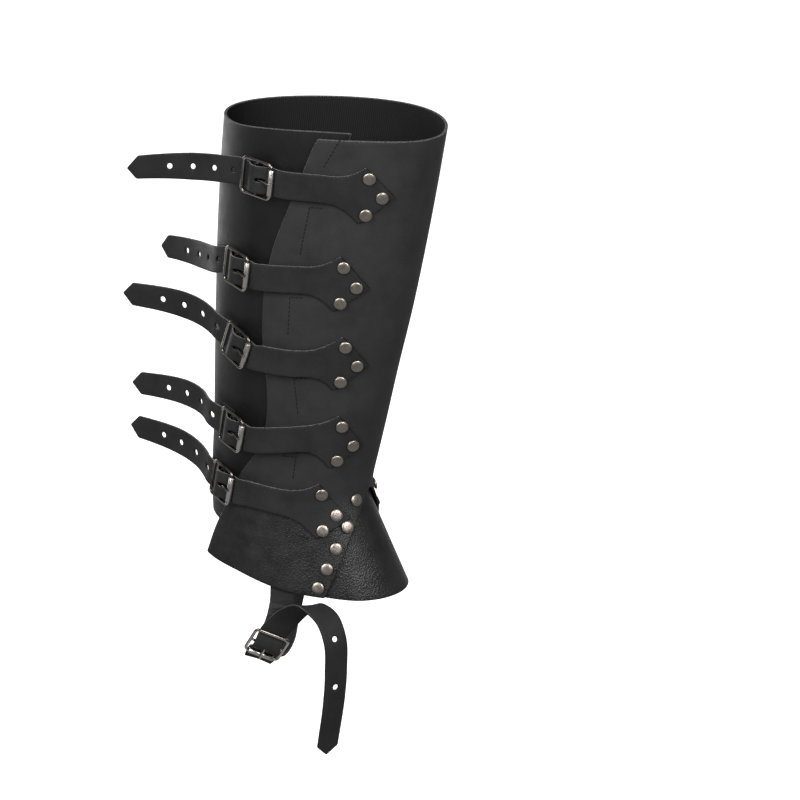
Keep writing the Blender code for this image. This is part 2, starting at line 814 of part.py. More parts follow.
def build_roller(name, seat):
    """Tube that turns on the bar next to the plate."""
    half = ROLLER_LENGTH / 2
    inner = BUCKLE_WIRE / 2 + GAP
    n = ROUND_SIDES
    points = []
    for across in (-half, half):
        for radius in (inner, inner + ROLLER_WALL):
            turns = [2 * math.pi * k / n for k in range(n)]
            points += [
                seat.point(BUCKLE_REACH + radius * math.cos(u), across, radius * math.sin(u)) for u in turns
            ]
    faces = []
    for k in range(n):
        j = (k + 1) % n
        faces += [[k, j, 2 * n + j, 2 * n + k], [n + k, 3 * n + k, 3 * n + j, n + j]]
        faces += [[k, n + k, n + j, j], [2 * n + k, 2 * n + j, 3 * n + j, 3 * n + k]]
    return add_object(name, points, faces, DARK_NICKEL)


def build_prong(name, seat):
    """Wire hooked round the centre bar, which rises through the strap's hole to rest on the roller."""
    eye = CENTRE_BAR / 2 + GAP + PRONG_EYE_WIRE / 2
    top = roller_radius() + GAP + PRONG_WIRE / 2
    turns = [math.radians(turn) for turn in (-35, -95, -155, -215, -260)]
    path = [seat.point(eye * math.cos(u), 0, eye * math.sin(u)) for u in turns]
    path += [seat.point(0.0030, 0, eye * 0.86), seat.point(0.0060, 0, eye), seat.point(BUCKLE_REACH, 0, top)]
    path.append(seat.point(BUCKLE_REACH + 0.0022, 0, top - GAP))
    radii = [PRONG_EYE_WIRE / 2] * len(turns)
    radii += [PRONG_EYE_WIRE * 0.6, PRONG_WIRE / 2, PRONG_WIRE / 2, PRONG_WIRE * 0.36]
    points, faces = tube_mesh(path, radii, WIRE_SIDES)
    return add_object(name, points, faces, DARK_NICKEL)


def chape_profile(floor, lengths):
    """The folded leather seen from its edge: (along, out) of its outline and of its eye round the centre bar.

    floor is the out of its lower face where it lies down. lengths are the places along it where it bends.
    """
    eye = CENTRE_BAR / 2 + GAP
    skin = eye + CHAPE_LEATHER
    turns = [math.radians(turn) for turn in (65, 121, 177, 233, 290)]
    outer = [(skin * math.cos(u), skin * math.sin(u)) for u in turns]
    outer += [(along, floor) for along in lengths]
    outer += [(along, floor + 2 * CHAPE_LEATHER) for along in reversed(lengths)]
    inner = circle((0.0, 0.0), 2 * eye / math.cos(math.pi / EYE_SIDES), EYE_SIDES)
    return outer, inner


def build_chape(name, profile, place):
    """Leather folded round the centre bar, slotted for the prong. place(along, across, out) puts it in space."""
    outer, inner = profile
    columns = [min(x for x, _ in outer) - 0.01, max(x for x, _ in outer) + 0.01]
    flat, faces = cut_flat(outer, [inner], columns, [])
    half = STRAP_WIDTH / 2 - CHAPE_MARGIN
    body = thickened(flat, faces, lambda x, y, across: place(x, across, y), (-half, half))
    reach = CENTRE_BAR / 2 + GAP + CHAPE_LEATHER
    corners = [
        place(along, across, out)
        for along in (-reach - 0.002, reach + 0.0005)
        for across in (-CHAPE_SLOT / 2, CHAPE_SLOT / 2)
        for out in (-reach - 0.0030, reach + 0.002)
    ]
    sides = [[0, 1, 3, 2], [4, 6, 7, 5], [0, 4, 5, 1], [2, 3, 7, 6], [0, 2, 6, 4], [1, 5, 7, 3]]
    return combined(name, [body, (corners, sides)], BLACK_LEATHER, ["DIFFERENCE"])


def build_strap_chape(strap):
    """The chape that holds a strap's buckle, sewn down on the shell on the side of the strap's tail."""

    def place(along, across, out):
        angle = strap.leg_angle(along)
        laid = leg_point(angle, strap.centre(along) + across, GAP + out - under_inset(angle + 360))
        held = strap.buckle.point(-along, across, out)
        return held if along < CHAPE_BEND / 2 else laid

    lengths = spread(CHAPE_BEND, CHAPE_LENGTH, 0.0055)
    build_chape(f"chape_{strap.name}", chape_profile(0.0, lengths), place)


def build_buckle(name, seat):
    build_frame(f"buckle_frame_{name}", seat)
    build_roller(f"roller_{name}", seat)
    build_prong(f"prong_{name}", seat)


# Rivets


def build_rivet(name, seat, grip):
    """Domed head with its shank through the leathers under it. The seat's middle is on the outer leather."""
    rows = (
        (0.0, RIVET_DOME + GAP),
        (RIVET_HEAD * 0.34, RIVET_DOME * 0.76 + GAP),
        (RIVET_HEAD * 0.50, RIVET_RIM / 2 + GAP),
        (RIVET_SHANK / 2, GAP),
        (RIVET_SHANK / 2, -grip),
        (0.0, -grip),
    )
    points = []
    rings = []
    for radius, out in rows:
        sides = ROUND_SIDES if radius else 1
        rings.append(list(range(len(points), len(points) + sides)))
        turns = [2 * math.pi * k / ROUND_SIDES for k in range(sides)]
        points += [seat.point(radius * math.cos(u), radius * math.sin(u), out) for u in turns]
    faces = []
    for near, far in zip(rings, rings[1:]):
        for k in range(ROUND_SIDES):
            j = k + 1
            corners = [near[k % len(near)], near[j % len(near)], far[j % len(far)], far[k % len(far)]]
            faces.append(list(dict.fromkeys(corners)))
    return add_object(name, points, faces, ANTIQUE_NICKEL)


def face_seat(place, along, across):
    """Frame on a bent leather's face, whose points place(along, across) gives."""
    middle = place(along, across)
    ahead = place(along + 0.001, across) - place(along - 0.001, across)
    upward = place(along, across + 0.001) - place(along, across - 0.001)
    return Seat(middle, ahead, ahead.cross(upward))


def seam_rivets():
    """Angle and height of the rivets down one side of the front cut, set in from its edge."""
    spots = []
    for share in SEAM_RIVET_SHARES:
        height = -share * TOE_DROP
        radius = arc_radius(cut_angle(height), height)
        slope = (cut_angle(height - 0.004) - cut_angle(height + 0.004)) / 0.008
        lean = math.hypot(1.0, math.radians(slope) * radius)
        spots.append((cut_angle(height) + math.degrees(SEAM_RIVET_EDGE * lean / radius), height))
    return spots


def build_strap_rivets(strap):
    def face(along, across):
        return strap.at(along, across, STRAP_LEATHER / 2 + GAP)

    for i, (x, y) in enumerate(plate_rivets()):
        seat = face_seat(face, x - strap.reach, y)
        if seat.out.dot(form_normal(strap.angle, strap.height)) < 0:
            seat = Seat(seat.middle, seat.along, -seat.out)
        build_rivet(f"strap_rivet_{strap.name}_{i + 1}", seat, STRAP_LEATHER + 3 * GAP + LEATHER)


def build_seam_rivets():
    for i, (angle, height) in enumerate(seam_rivets()):
        for side, sign in (("outer", -1), ("inner", 1)):
            lift = LAPPED_RIVET_LIFT if (side, i) == LAPPED_RIVET else SEAM_RIVET_LIFT
            point = leg_point(sign * angle, height, lift)
            beside = leg_point(sign * angle + 0.5, height, lift)
            seat = Seat(point, beside - point, form_normal(sign * angle, height))
            build_rivet(f"seam_rivet_{side}_{i + 1}", seat, 2 * LEATHER + 5 * GAP + lift)


# Foot strap


def foot_seat():
    """Frame of the foot strap's buckle, which hangs under the outer hem, along down to the foot."""
    hem = leg_point(STUB_ANGLE, hem_height(STUB_ANGLE), -LEATHER)
    middle = hem + Vector((-STUB_SET_BACK, -STUB_SET_OUT, -STUB_DROP))
    return Seat(middle, Vector(FOOT_BUCKLE_DOWN), Vector(FOOT_BUCKLE_OUT))


def inside_hem(angle, height, layers):
    """Middle of a piece of so many metres of leather laid inside the shell, and the way across it."""
    spot = leg_point(angle, height, -LEATHER - 5 * GAP - layers / 2)
    across = form_point(angle + 0.5, height) - form_point(angle - 0.5, height)
    return spot, across.normalized()


def build_stub(seat):
    """Leather folded round the foot buckle's centre bar, up behind its top bar and inside the outer hem."""
    layers = 2 * CHAPE_LEATHER
    hem = hem_height(STUB_ANGLE)
    behind = BUCKLE_WIRE / 2 + STRAP_LEATHER + 4 * GAP + CHAPE_LEATHER
    stations = [(seat.point(0, 0, 0), seat.across)]
    stations += [(seat.point(-0.45 * BUCKLE_REACH, 0, -0.60 * behind), seat.across)]
    stations += [(seat.point(-BUCKLE_REACH, 0, -behind), seat.across)]
    for share in (-0.55, 0.0, 0.5, 1.0):
        stations.append(inside_hem(STUB_ANGLE, hem + share * STUB_RISE, layers))
    ribbon = Ribbon(stations)
    lengths = spread(CHAPE_BEND, ribbon.length, 0.0060)
    profile = chape_profile(-CHAPE_LEATHER, lengths)

    def place(along, across, out):
        if along < CHAPE_BEND / 2:
            return seat.point(-along, across, out)
        return ribbon.at(along, across, -out)

    build_chape("foot_stub", profile, place)


def build_foot_strap(seat):
    """Strap from inside the inner hem, under the foot, through its buckle and over to a hanging tail."""
    hem = hem_height(FOOT_ROOT_ANGLE)
    stations = []
    for share in (1.0, 0.5, 0.0):
        height = hem + share * FOOT_ROOT_RISE
        spot, across = inside_hem(FOOT_ROOT_ANGLE, height, STRAP_LEATHER)
        stations.append((spot, -across))
    for x, y, z in FOOT_LOOP:
        spot = Vector((x * FOOT_LOOP_SHIFT, y * FOOT_LOOP_HALF, -z * FOOT_LOOP_DROP))
        stations.append((spot, Vector((1, 0, 0))))
    for share in (-1.5, -1.0, -0.7, -0.4, 0.0, 0.4, 0.7, 1.0):
        along = share * BUCKLE_REACH
        stations.append((seat.point(-along, 0, 1.08 * weave(along)), seat.across))
    hole = len(stations) - 4
    for x, y, z, *across in FOOT_TAIL:
        spot = Vector((x * FOOT_TAIL_REACH, -y * FOOT_TAIL_OUT, -z * FOOT_TAIL_DROP))
        stations.append((spot, Vector(across).normalized()))
    ribbon = Ribbon(stations)
    bar = ribbon.knots[hole]
    half = STRAP_WIDTH / 2
    length = ribbon.length
    side = [(0.0, half), (length * 0.5, half), (length - TAIL_POINT, TAIL_CORNER / 2)]
    outline = [(x, -y) for x, y in side] + [(length, 0.0)] + side[::-1]
    holes = [oval((bar - PRONG_HOLE_SHIFT, 0.0), PRONG_HOLE_LENGTH, PRONG_HOLE_WIDTH, HOLE_SIDES)]
    for k in range(3):
        spot = (length - FOOT_HOLE_START - k * FOOT_HOLE_SPACING, 0.0)
        holes.append(circle(spot, HOLE_DIAMETER, HOLE_SIDES))
    bend = 2.0 * BUCKLE_REACH
    columns = spread(STRAP_STEP, bar - bend, STRAP_STEP) + spread(bar - bend, bar + bend, BEND_STEP)[1:]
    columns += spread(bar + bend, length - TAIL_POINT, STRAP_STEP)[1:]

    def place(x, y, depth):
        return ribbon.at(x, y, STRAP_LEATHER / 2 - depth)

    sheet("foot_strap", outline, place, STRAP_LEATHER, columns, [], holes)


def main():
    for old in list(bpy.data.objects):
        bpy.data.objects.remove(old)
    straps = [Strap(row) for row in STRAPS]
    seam_holes = []
    for angle, height in seam_rivets():
        for sign in (-1, 1):
            seam_holes.append(circle(to_pattern(sign * angle, height), SEAM_RIVET_HOLE, RIVET_HOLE_SIDES))
    strap_holes = []
    for strap in straps:
        for x, y in plate_rivets():
            along = x - strap.reach
            spot = to_pattern(strap.leg_angle(along), strap.centre(along) + y)
            strap_holes.append(circle(spot, RIVET_HOLE, RIVET_HOLE_SIDES))
    build_shell(seam_holes + strap_holes)
    build_gusset(seam_holes)
    for strap in straps:
        strap.build()
        build_buckle(strap.name, strap.buckle)
        build_strap_rivets(strap)
        build_strap_chape(strap)
    build_seam_rivets()
    seat = foot_seat()
    build_buckle("foot", seat)
    build_stub(seat)
    build_foot_strap(seat)


main()
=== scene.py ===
"""Leg armour, dressed for the render: fine leather with rounded cut edges, round wire buckles, turned rivet
heads and stitching. Metres, in the model's frame. Its solids' sizes and routes are repeated here.
"""

import bisect
from math import atan2, ceil, copysign, cos, degrees, dist, hypot, pi, radians, sin

import bmesh
import bpy
import numpy as np
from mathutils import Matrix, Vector
from mathutils.geometry import delaunay_2d_cdt


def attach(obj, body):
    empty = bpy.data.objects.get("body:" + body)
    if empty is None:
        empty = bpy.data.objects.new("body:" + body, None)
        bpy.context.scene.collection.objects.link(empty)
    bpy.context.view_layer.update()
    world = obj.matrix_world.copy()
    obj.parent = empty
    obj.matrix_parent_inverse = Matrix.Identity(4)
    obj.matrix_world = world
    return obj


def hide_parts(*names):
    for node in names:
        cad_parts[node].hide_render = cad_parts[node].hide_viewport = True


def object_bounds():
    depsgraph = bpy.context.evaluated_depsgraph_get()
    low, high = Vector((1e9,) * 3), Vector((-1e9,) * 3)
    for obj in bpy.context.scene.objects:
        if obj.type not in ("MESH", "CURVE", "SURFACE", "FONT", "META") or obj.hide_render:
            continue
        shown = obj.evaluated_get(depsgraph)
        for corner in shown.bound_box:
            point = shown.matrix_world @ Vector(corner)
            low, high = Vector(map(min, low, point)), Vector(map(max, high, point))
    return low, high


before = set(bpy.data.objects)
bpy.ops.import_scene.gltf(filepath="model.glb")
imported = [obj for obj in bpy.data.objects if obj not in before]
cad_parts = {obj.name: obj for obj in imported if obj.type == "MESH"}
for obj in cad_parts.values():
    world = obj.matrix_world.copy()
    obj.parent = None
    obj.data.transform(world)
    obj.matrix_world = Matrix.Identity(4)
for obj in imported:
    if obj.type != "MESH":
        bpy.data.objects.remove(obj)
CAD_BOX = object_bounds()

# Driving dimensions: the leg form that the leather is bent round
RIM_HEIGHT = 0.3015
TOP_LENGTH = 0.179
TOP_WIDTH = 0.120
ANKLE_LENGTH = 0.1322
ANKLE_WIDTH = 0.0924
CALF_LEAN = 0.0405
TOE_DROP = 0.080
HEEL_DROP = 0.029
TOE_FLARE = 0.44
FLARE_BEND = 0.014
RIM_DIP = 0.007

# Driving dimensions: leather
LEATHER = 0.0022
STRAP_LEATHER = 0.0018
CHAPE_LEATHER = 0.0012
GAP = 0.0003
UNDERSIDE = LEATHER + 5 * GAP
UNDER_LAP = 0.026
GUSSET_LAP = 0.017
GUSSET_RISE = 0.012

# Driving dimensions: straps
STRAP_WIDTH = 0.022
PLATE_HEIGHT = 0.0450
PLATE_LENGTH = 0.026
PLATE_NECK = 0.026
TAIL_LENGTH = 0.118
TAIL_POINT = 0.008
TAIL_CORNER = 0.019
HOLE_DIAMETER = 0.0046
PRONG_HOLE_SHIFT = 0.0047
PRONG_HOLE_LENGTH = 0.0070
PRONG_HOLE_WIDTH = 0.0034
FIRST_HOLE = 0.024
HOLE_SPACING = 0.020

# Driving dimensions: rivets
RIVET_HEAD = 0.0100
RIVET_DOME = 0.0022
RIVET_LIP = 0.0008
RIVET_SHANK = 0.0026
RIVET_HOLE = 0.0042
SEAM_RIVET_EDGE = 0.0065
SEAM_RIVET_LIFT = 0.0008
LAPPED_RIVET_LIFT = 0.0026

# Driving dimensions: buckles
BUCKLE_WIRE = 0.0026
BUCKLE_CORNER = 0.0032
ROLLER_LENGTH = 0.0208
BUCKLE_REACH = 0.0135
CENTRE_BAR = 0.0022
ROLLER_WALL = 0.0007
PRONG_WIRE = 0.0018
PRONG_EYE_WIRE = 0.0012
PRONG_LEAVE = 0.0030
PRONG_TIP = 0.0022
BUCKLE_SLACK = 0.0016

# Driving dimensions: foot strap
STUB_ANGLE = -80.0
STUB_DROP = 0.0480
STUB_SET_BACK = 0.0115
STUB_SET_OUT = 0.0035
FOOT_ROOT_ANGLE = 104.0
FOOT_ROOT_RISE = 0.020
FOOT_LOOP_SHIFT = 0.0147
FOOT_LOOP_HALF = 0.0500
FOOT_LOOP_DROP = 0.1440
FOOT_TAIL_REACH = 0.0677
FOOT_TAIL_OUT = 0.0790
FOOT_TAIL_DROP = 0.1990
FOOT_HOLE_SPACING = 0.040
FOOT_HOLE_START = 0.060
FOOT_WEAVE = 1.08
FOOT_BUCKLE_DOWN = (-0.517, 0.292, -0.802)
FOOT_BUCKLE_OUT = (0.175, -0.880, -0.433)

# Leg sections from ankle to rim: height share, bulge share of the growth in length, lean share
LEG_SECTIONS = (
    (0.000, 0.000, 0.000), (0.167, 0.188, 0.188), (0.333, 0.393, 0.348), (0.500, 0.611, 0.521),
    (0.667, 0.786, 0.679), (0.833, 0.915, 0.837), (1.000, 1.000, 1.000),
)

# Skirt below the ankle: sheet angle, flare share, hem share between the heel's drop and the toe's
SKIRT = (
    (-160, 0.61, 0.35), (-137, 0.55, 0.51), (-108, 0.41, 0.67), (-87, 0.36, 0.82),
    (-70, 0.40, 0.90), (-53, 0.50, 0.95), (-30, 0.77, 1.00), (0, 1.00, 1.00), (30, 0.77, 1.00),
    (53, 0.50, 0.95), (90, 0.32, 0.90), (110, 0.20, 0.84), (130, 0.09, 0.63), (155, 0.00, 0.22),
    (170, -0.05, 0.06), (190, -0.05, 0.00), (220, -0.05, 0.08), (300, -0.05, 0.30),
)

# Rim: sheet angle, share of the dip
RIM = (
    (-100, 0.50), (-60, 0.62), (-20, 1.00), (0, 0.90), (20, 0.45), (45, 0.05), (120, 0.00),
    (180, 0.10), (222, 0.45), (252, 0.05), (275, -0.20), (300, -0.10),
)

# Edge of the outer flap: height share of the rim height, sheet angle
FLAP_EDGE = (
    (-0.27, -141), (-0.18, -137), (-0.11, -133), (-0.05, -127), (0.05, -115), (0.12, -103.5),
    (0.20, -98.5), (0.30, -99.5), (0.43, -105.3), (0.55, -106.8), (0.67, -104), (0.82, -95),
    (1.00, -84.5),
)

# Front cut: share of the toe's drop, half its opening in degrees
FRONT_CUT = (
    (1.06, 55.0), (0.97, 52.6), (0.72, 44.6), (0.57, 39.3), (0.41, 33.1), (0.27, 25.4),
    (0.11, 16.1), (0.02, 7.5), (-0.02, 0.0),
)

# Rivets down each side of the front cut: shares of the toe's drop. One of them laps over a strap's edge
SEAM_RIVET_SHARES = (0.048, 0.284, 0.484, 0.680, 0.865)
LAPPED_RIVET = ("outer", 1)

# Straps, top to bottom: name, angle and height of the plate's tip, angle and height of the buckle. Then the
# centre line's rise over the buckle, in shares of the strap's width: at the plate's corners, halfway to the
# buckle, and at the left bar (the roller's is the same the other way). Then how far the strap stands off the
# leg, and the buckle's turn off it in degrees. Then the tail: its wrap in shares of its length, its last
# heading in degrees, how the turn to it is spread, and its rise at the first hole and at the tip
STRAPS = (
    ("1", -39.0, 0.2517, -114.0, 0.2627, -0.37, -0.14, 0.08, 0.0006, 0.0, 0.14, -19, 1.24, 0.00, -0.33),
    ("2", -46.0, 0.1785, -124.0, 0.1867, -0.17, -0.05, 0.10, 0.0010, 7.0, 0.29, 21, 1.15, -0.13, -0.52),
    ("3", -35.7, 0.1132, -120.6, 0.1247, -0.35, -0.34, 0.24, 0.0020, 8.0, 0.24, -10, 0.66, 0.58, 0.96),
    ("4", -26.2, 0.0433, -119.2, 0.0544, -0.20, 0.04, 0.14, 0.0045, 11.0, 0.30, -1, 0.62, 0.38, 0.48),
    ("5", -30.5, -0.0165, -126.8, 0.0053, -0.62, -0.30, 0.10, 0.0016, 9.0, 0.21, 9, 0.52, 0.43, 0.81),
)

# Foot strap from the inner hem under the foot: shares of the loop's shift back, half width and drop
FOOT_LOOP = (
    (-1.00, 1.00, 0.61), (-1.00, 0.80, 0.75), (-0.93, 0.40, 0.91), (-0.66, 0.00, 0.98),
    (-0.56, -0.44, 1.00), (-0.55, -0.76, 0.97),
)

# Foot strap's tail past its buckle: shares of its reach, set-out and drop, and the way across it
FOOT_TAIL = (
    (0.180, 0.765, 0.520, 0.83, 0.40, -0.38),
    (0.384, 0.785, 0.447, 0.80, 0.50, -0.25),
    (0.604, 0.854, 0.397, 0.72, 0.68, -0.10),
    (0.861, 0.924, 0.427, 0.65, 0.76, 0.00),
    (0.979, 0.968, 0.503, 0.62, 0.79, 0.00),
    (1.000, 0.987, 0.628, 0.62, 0.79, 0.00),
    (0.970, 0.996, 0.779, 0.62, 0.79, 0.00),
    (0.913, 1.000, 0.912, 0.62, 0.79, 0.00),
    (0.873, 1.000, 1.000, 0.62, 0.79, 0.00),
)

# Render: the cut edges' rounding and the meshes' steps. SHELL_STEPS and STRAP_STEPS are an outline's step and
# the clear border inside it
EDGE_ROUND = 0.00045
SHARP_ANGLE = radians(60.0)
SHELL_TURN = 2.4
SHELL_ROW = 0.0080
HEM_TURN = 2.0
EDGE_ROW = 0.006
SHELL_CORNER = 0.004
SHELL_STEPS = (0.0022, 0.0016)
STRAP_ROW = 0.0035
STRAP_COLUMN = 0.0037
BEND_ROW = 0.0012
STRAP_CORNER = 0.0012
STRAP_STEPS = (0.0014, 0.0010)
HOLE_SIDES = 24
WIRE_SIDES = 16
ROLLER_SIDES = 28
PRONG_SIDES = 14
RIVET_SIDES = 40

# Stitches: their stand-off, size and pitch
STITCH_RISE = 0.00015
STITCH_LENGTH = 0.0026
STITCH_WIDTH = 0.0008
STITCH_HEIGHT = 0.00025
STITCH_PITCH = 0.0034

# Camera: the image's width at the object, the view's angles, and the ankle centre's place in the photograph
IMAGE_SIZE = 800
VIEW_WIDTH = 0.640
VIEW_TURN = 20.0
VIEW_RISE = 19.0
ANKLE_PIXEL = (291.0, 477.8)
LENS = 150
SENSOR = 36
FAR_CLIP = 50

# Leather: scale of its pebbles, strength of its grain, and its darkest and lightest tones
PEBBLES = 820.0
SKIRT_GRAIN = 1.0
LEG_GRAIN = 0.2
MATTE_TONES = (0.018, 0.030)
UNDER_TONES = (0.005, 0.009)
GLOSSY_TONES = (0.008, 0.020)
BACKING_SEAM = 160

# Bumps: how far waves, pebbles, pores, ribs and dents stand out
WAVE_RELIEF = 0.0030
PEBBLE_RELIEF = 0.00032
PORE_RELIEF = 0.00012
RIB_RELIEF = 0.0002
DENT_RELIEF = 0.0001

# Bands of the shell: angles where the under flap and the front begin and are full, and heights of the skirt
UNDER_BAND = (205, 240)
FRONT_BAND = (-112, -66)
SKIRT_BAND = (0.006, -0.022)

# Noises: scale, detail, roughness, and where their low and high ends fall
TONE_NOISE = (38.0, 5.0, 0.6, 0.30, 0.72)
GLOSSY_NOISE = (60.0, 5.0, 0.6, 0.30, 0.72)
SHEEN_NOISE = (90.0, 4.0, 0.5, 0.30, 0.70)
SKIRT_NOISE = (120.0, 4.0, 0.5, 0.30, 0.70)
EDGE_NOISE = (700.0, 3.0, 0.5, 0.35, 0.70)
BACKING_NOISE = (50.0, 3.0, 0.5, 0.30, 0.70)
DULL_NOISE = (400.0, 4.0, 0.5, 0.30, 0.70)

# Cut edges: name, tone, specular, dark and light tones, and the band over which the light one comes in. On
# the shell the dark tone low on the leg is a painted shadow of the gap along the skirt and gusset, and the
# light one is the edge's own tone; on the straps the dark tone is the edge's own, and the light one on
# upward-facing edges is a painted highlight of light from above
SHELL_EDGE = ("cut_edge", 0.08, 0.35, (0.004, 0.010), (0.04, 0.11), ("Object", "Z", 0.0, 0.02))
STRAP_EDGE = ("cut_edge_strap", 0.03, 0.3, (0.003, 0.008), (0.09, 0.19), ("Normal", "Z", 0.72, 0.86))

# Tones of the metals: grimed, clean and underside. The wire's bright underside tone is a painted reflection
# of light from below; on the roller and the rivets it is the clean tone again
WIRE_TONES = ((0.10, 0.085, 0.075), (0.26, 0.23, 0.20), (0.98, 0.95, 0.90))
ROLLER_TONES = ((0.52, 0.50, 0.47), (0.84, 0.81, 0.77), (0.84, 0.81, 0.77))
RIVET_TONES = ((0.26, 0.23, 0.20), (0.46, 0.41, 0.36), (0.46, 0.41, 0.36))

# Stage: the world's light, the floor's glow, half size and drop under the object, and where the lights point
WORLD_LIGHT = 0.22
FLOOR_GLOW = 0.75
FLOOR_HALF = 40.0
FLOOR_GAP = 0.004
LIT_MIDDLE = Vector((0.0, 0.0, 0.10))

# Softboxes: name, angle round the leg from the toes, angle up, distance, size and power
SOFTBOXES = (
    ("key_softbox", -104, 34, 2.6, (1.6, 1.6), 54),
    ("skirt_softbox", -40, 27, 2.4, (1.0, 0.9), 30),
    ("left_rim_softbox", 150, 8, 2.2, (1.5, 1.8), 24),
    ("right_rim_softbox", 88, 8, 2.2, (0.4, 1.6), 5),
    ("top_softbox", 0, 84, 2.0, (1.4, 1.4), 6),
)

# Stitched lines of the lap, as angle and height, top to bottom
FLAP_SEAMS = (
    ((-73.0, 0.2990), (-76.4, 0.2873), (-80.0, 0.2755)),
    ((-77.8, 0.2432), (-84.8, 0.2432), (-87.4, 0.2044)),
    ((-83.0, 0.1695), (-90.7, 0.1695), (-89.6, 0.1382)),
    ((-74.5, 0.1030), (-82.9, 0.1030), (-77.8, 0.0730)),
    ((-85.0, 0.0364), (-75.4, 0.0364), (-75.3, 0.0173)),
    ((-76.2, -0.0240), (-68.0, -0.0290), (-61.3, -0.0311)),
)
# Stitched line across the foot stub, and the way its face looks
STUB_SEAM = ((0.0056, -0.0583, -0.0919), (0.0118, -0.0571, -0.0927))
STUB_OUT = (0.215, -0.916, 0.338)


# Tables and the leg form


CURVES = {}


def smooth(x, table, column):
    """Value of a table's column at x, on a cubic curve through its rows."""
    key = (id(table), column)
    if key not in CURVES:
        rows = sorted((float(row[0]), float(row[column])) for row in table)
        knots, values = zip(*rows)
        CURVES[key] = (table, knots, values, np.gradient(values, knots).tolist())
    _, knots, values, slopes = CURVES[key]
    x = min(max(x, knots[0]), knots[-1])
    i = min(bisect.bisect_right(knots, x) - 1, len(knots) - 2)
    span = knots[i + 1] - knots[i]
    u = (x - knots[i]) / span
    return (
        values[i] * (1 + 2 * u) * (1 - u) ** 2
        + slopes[i] * span * u * (1 - u) ** 2
        + values[i + 1] * u * u * (3 - 2 * u)
        + slopes[i + 1] * span * u * u * (u - 1)
    )


def ease(x, low, high):
    u = min(max((x - low) / (high - low), 0.0), 1.0)
    return u * u * (3 - 2 * u)


def half_axes(height):
    """Centre, half length and half width of the leg form at a height."""
    share = min(max(height / RIM_HEIGHT, 0.0), 1.0)
    length = ANKLE_LENGTH + (TOP_LENGTH - ANKLE_LENGTH) * smooth(share, LEG_SECTIONS, 1)
    width = ANKLE_WIDTH + (TOP_WIDTH - ANKLE_WIDTH) * share
    return CALF_LEAN * smooth(share, LEG_SECTIONS, 2), length / 2, width / 2


def below_ankle(height):
    """Distance below the ankle, eased in over the bend where the skirt starts to flare."""
    if abs(height) < FLARE_BEND:
        return (FLARE_BEND - height) ** 2 / (4 * FLARE_BEND)
    return max(0.0, -height)


def form_point(angle, height):
    """Point on the leather's outer face. Below the ankle the skirt flares."""
    centre, a, b = half_axes(height)
    turn = radians(angle)
    sideways = Vector((cos(turn) * b, sin(turn) * a, 0)).normalized()
    flare = TOE_FLARE * smooth(angle, SKIRT, 1) * below_ankle(height)
    return Vector((centre + a * cos(turn), b * sin(turn), height)) + sideways * flare


def form_normal(angle, height):
    """Direction out of the leather, square to its face."""
    around = form_point(angle + 0.5, height) - form_point(angle - 0.5, height)
    upward = form_point(angle, height + 0.001) - form_point(angle, height - 0.001)
    return around.cross(upward).normalized()


def leg_point(angle, height, out=0.0):
    """Point at a distance outside the leather's outer face."""
    return form_point(angle, height) + form_normal(angle, height) * out


def under_inset(angle):
    """The end of the sheet dips under its start by one leather and a gap."""
    return (LEATHER + 2 * GAP) * ease(angle, 190, 238)


def arc_radius(angle, height):
    """Metres of leather per radian round the leg."""
    _, a, b = half_axes(height)
    turn = radians(angle)
    return hypot(a * sin(turn), b * cos(turn))


def hem_height(angle):
    return -(HEEL_DROP + (TOE_DROP - HEEL_DROP) * smooth(angle, SKIRT, 2))


def rim_height(angle):
    return RIM_HEIGHT - RIM_DIP * smooth(angle, RIM, 1)


def flap_angle(height):
    return smooth(height / RIM_HEIGHT, FLAP_EDGE, 1)


def under_angle(height):
    edge = flap_angle(height)
    return 360 + edge + degrees(UNDER_LAP / arc_radius(edge, height))


def cut_angle(height):
    """Half the opening of the front cut at a height below its top."""
    return smooth(-height / TOE_DROP, FRONT_CUT, 1)


# Mesh tools


def declare(made, node):
    """Hangs the piece from the root body and hides the model's node, whose place it takes."""
    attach(made, "root")
    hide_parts(node)


def placed(name, data):
    made = bpy.data.objects.new(name, data)
    bpy.context.collection.objects.link(made)
    return made


def add_object(name, points, faces, looks, kinds=None, flat=None):
    """Object from points and faces. kinds gives each face's place in the list of looks."""
    mesh = bpy.data.meshes.new(name)
    mesh.from_pydata([tuple(p) for p in points], [], faces)
    for look in looks:
        mesh.materials.append(look)
    if kinds:
        mesh.polygons.foreach_set("material_index", kinds)
    if flat:
        layer = mesh.uv_layers.new(name="pattern")
        for loop in mesh.loops:
            layer.data[loop.index].uv = flat[loop.vertex_index]
    work = bmesh.new()
    work.from_mesh(mesh)
    bmesh.ops.recalc_face_normals(work, faces=work.faces)
    work.to_mesh(mesh)
    work.free()
    mesh.shade_smooth()
    mesh.set_sharp_from_angle(angle=SHARP_ANGLE)
    return placed(name, mesh)


def add_piece(name, node, shape, look):
    """Piece of one look, from a shape's points and faces."""
    declare(add_object(name, *shape, [look]), node)


def full_turn(sides):
    return [2 * pi * k / sides for k in range(sides)]


def oval(x, y, length, width):
    return [(x + length / 2 * cos(u), y + width / 2 * sin(u)) for u in full_turn(HOLE_SIDES)]


def all_inside(points, loop):
    """Even-odd test of many points against a closed outline."""
    x, y = points[:, 0], points[:, 1]
    found = np.zeros(len(points), bool)
    for (x1, y1), (x2, y2) in zip(loop, loop[1:] + loop[:1]):
        if y1 == y2:
            continue
        crossing = ((y1 > y) != (y2 > y)) & (x < x1 + (y - y1) * (x2 - x1) / (y2 - y1))
        found ^= crossing
    return found


def spread(low, high, step):
    """Evenly spaced numbers from low to high, no further apart than a step."""
    count = max(1, ceil((high - low) / step - 1e-6))
    return [low + (high - low) * k / count for k in range(count + 1)]


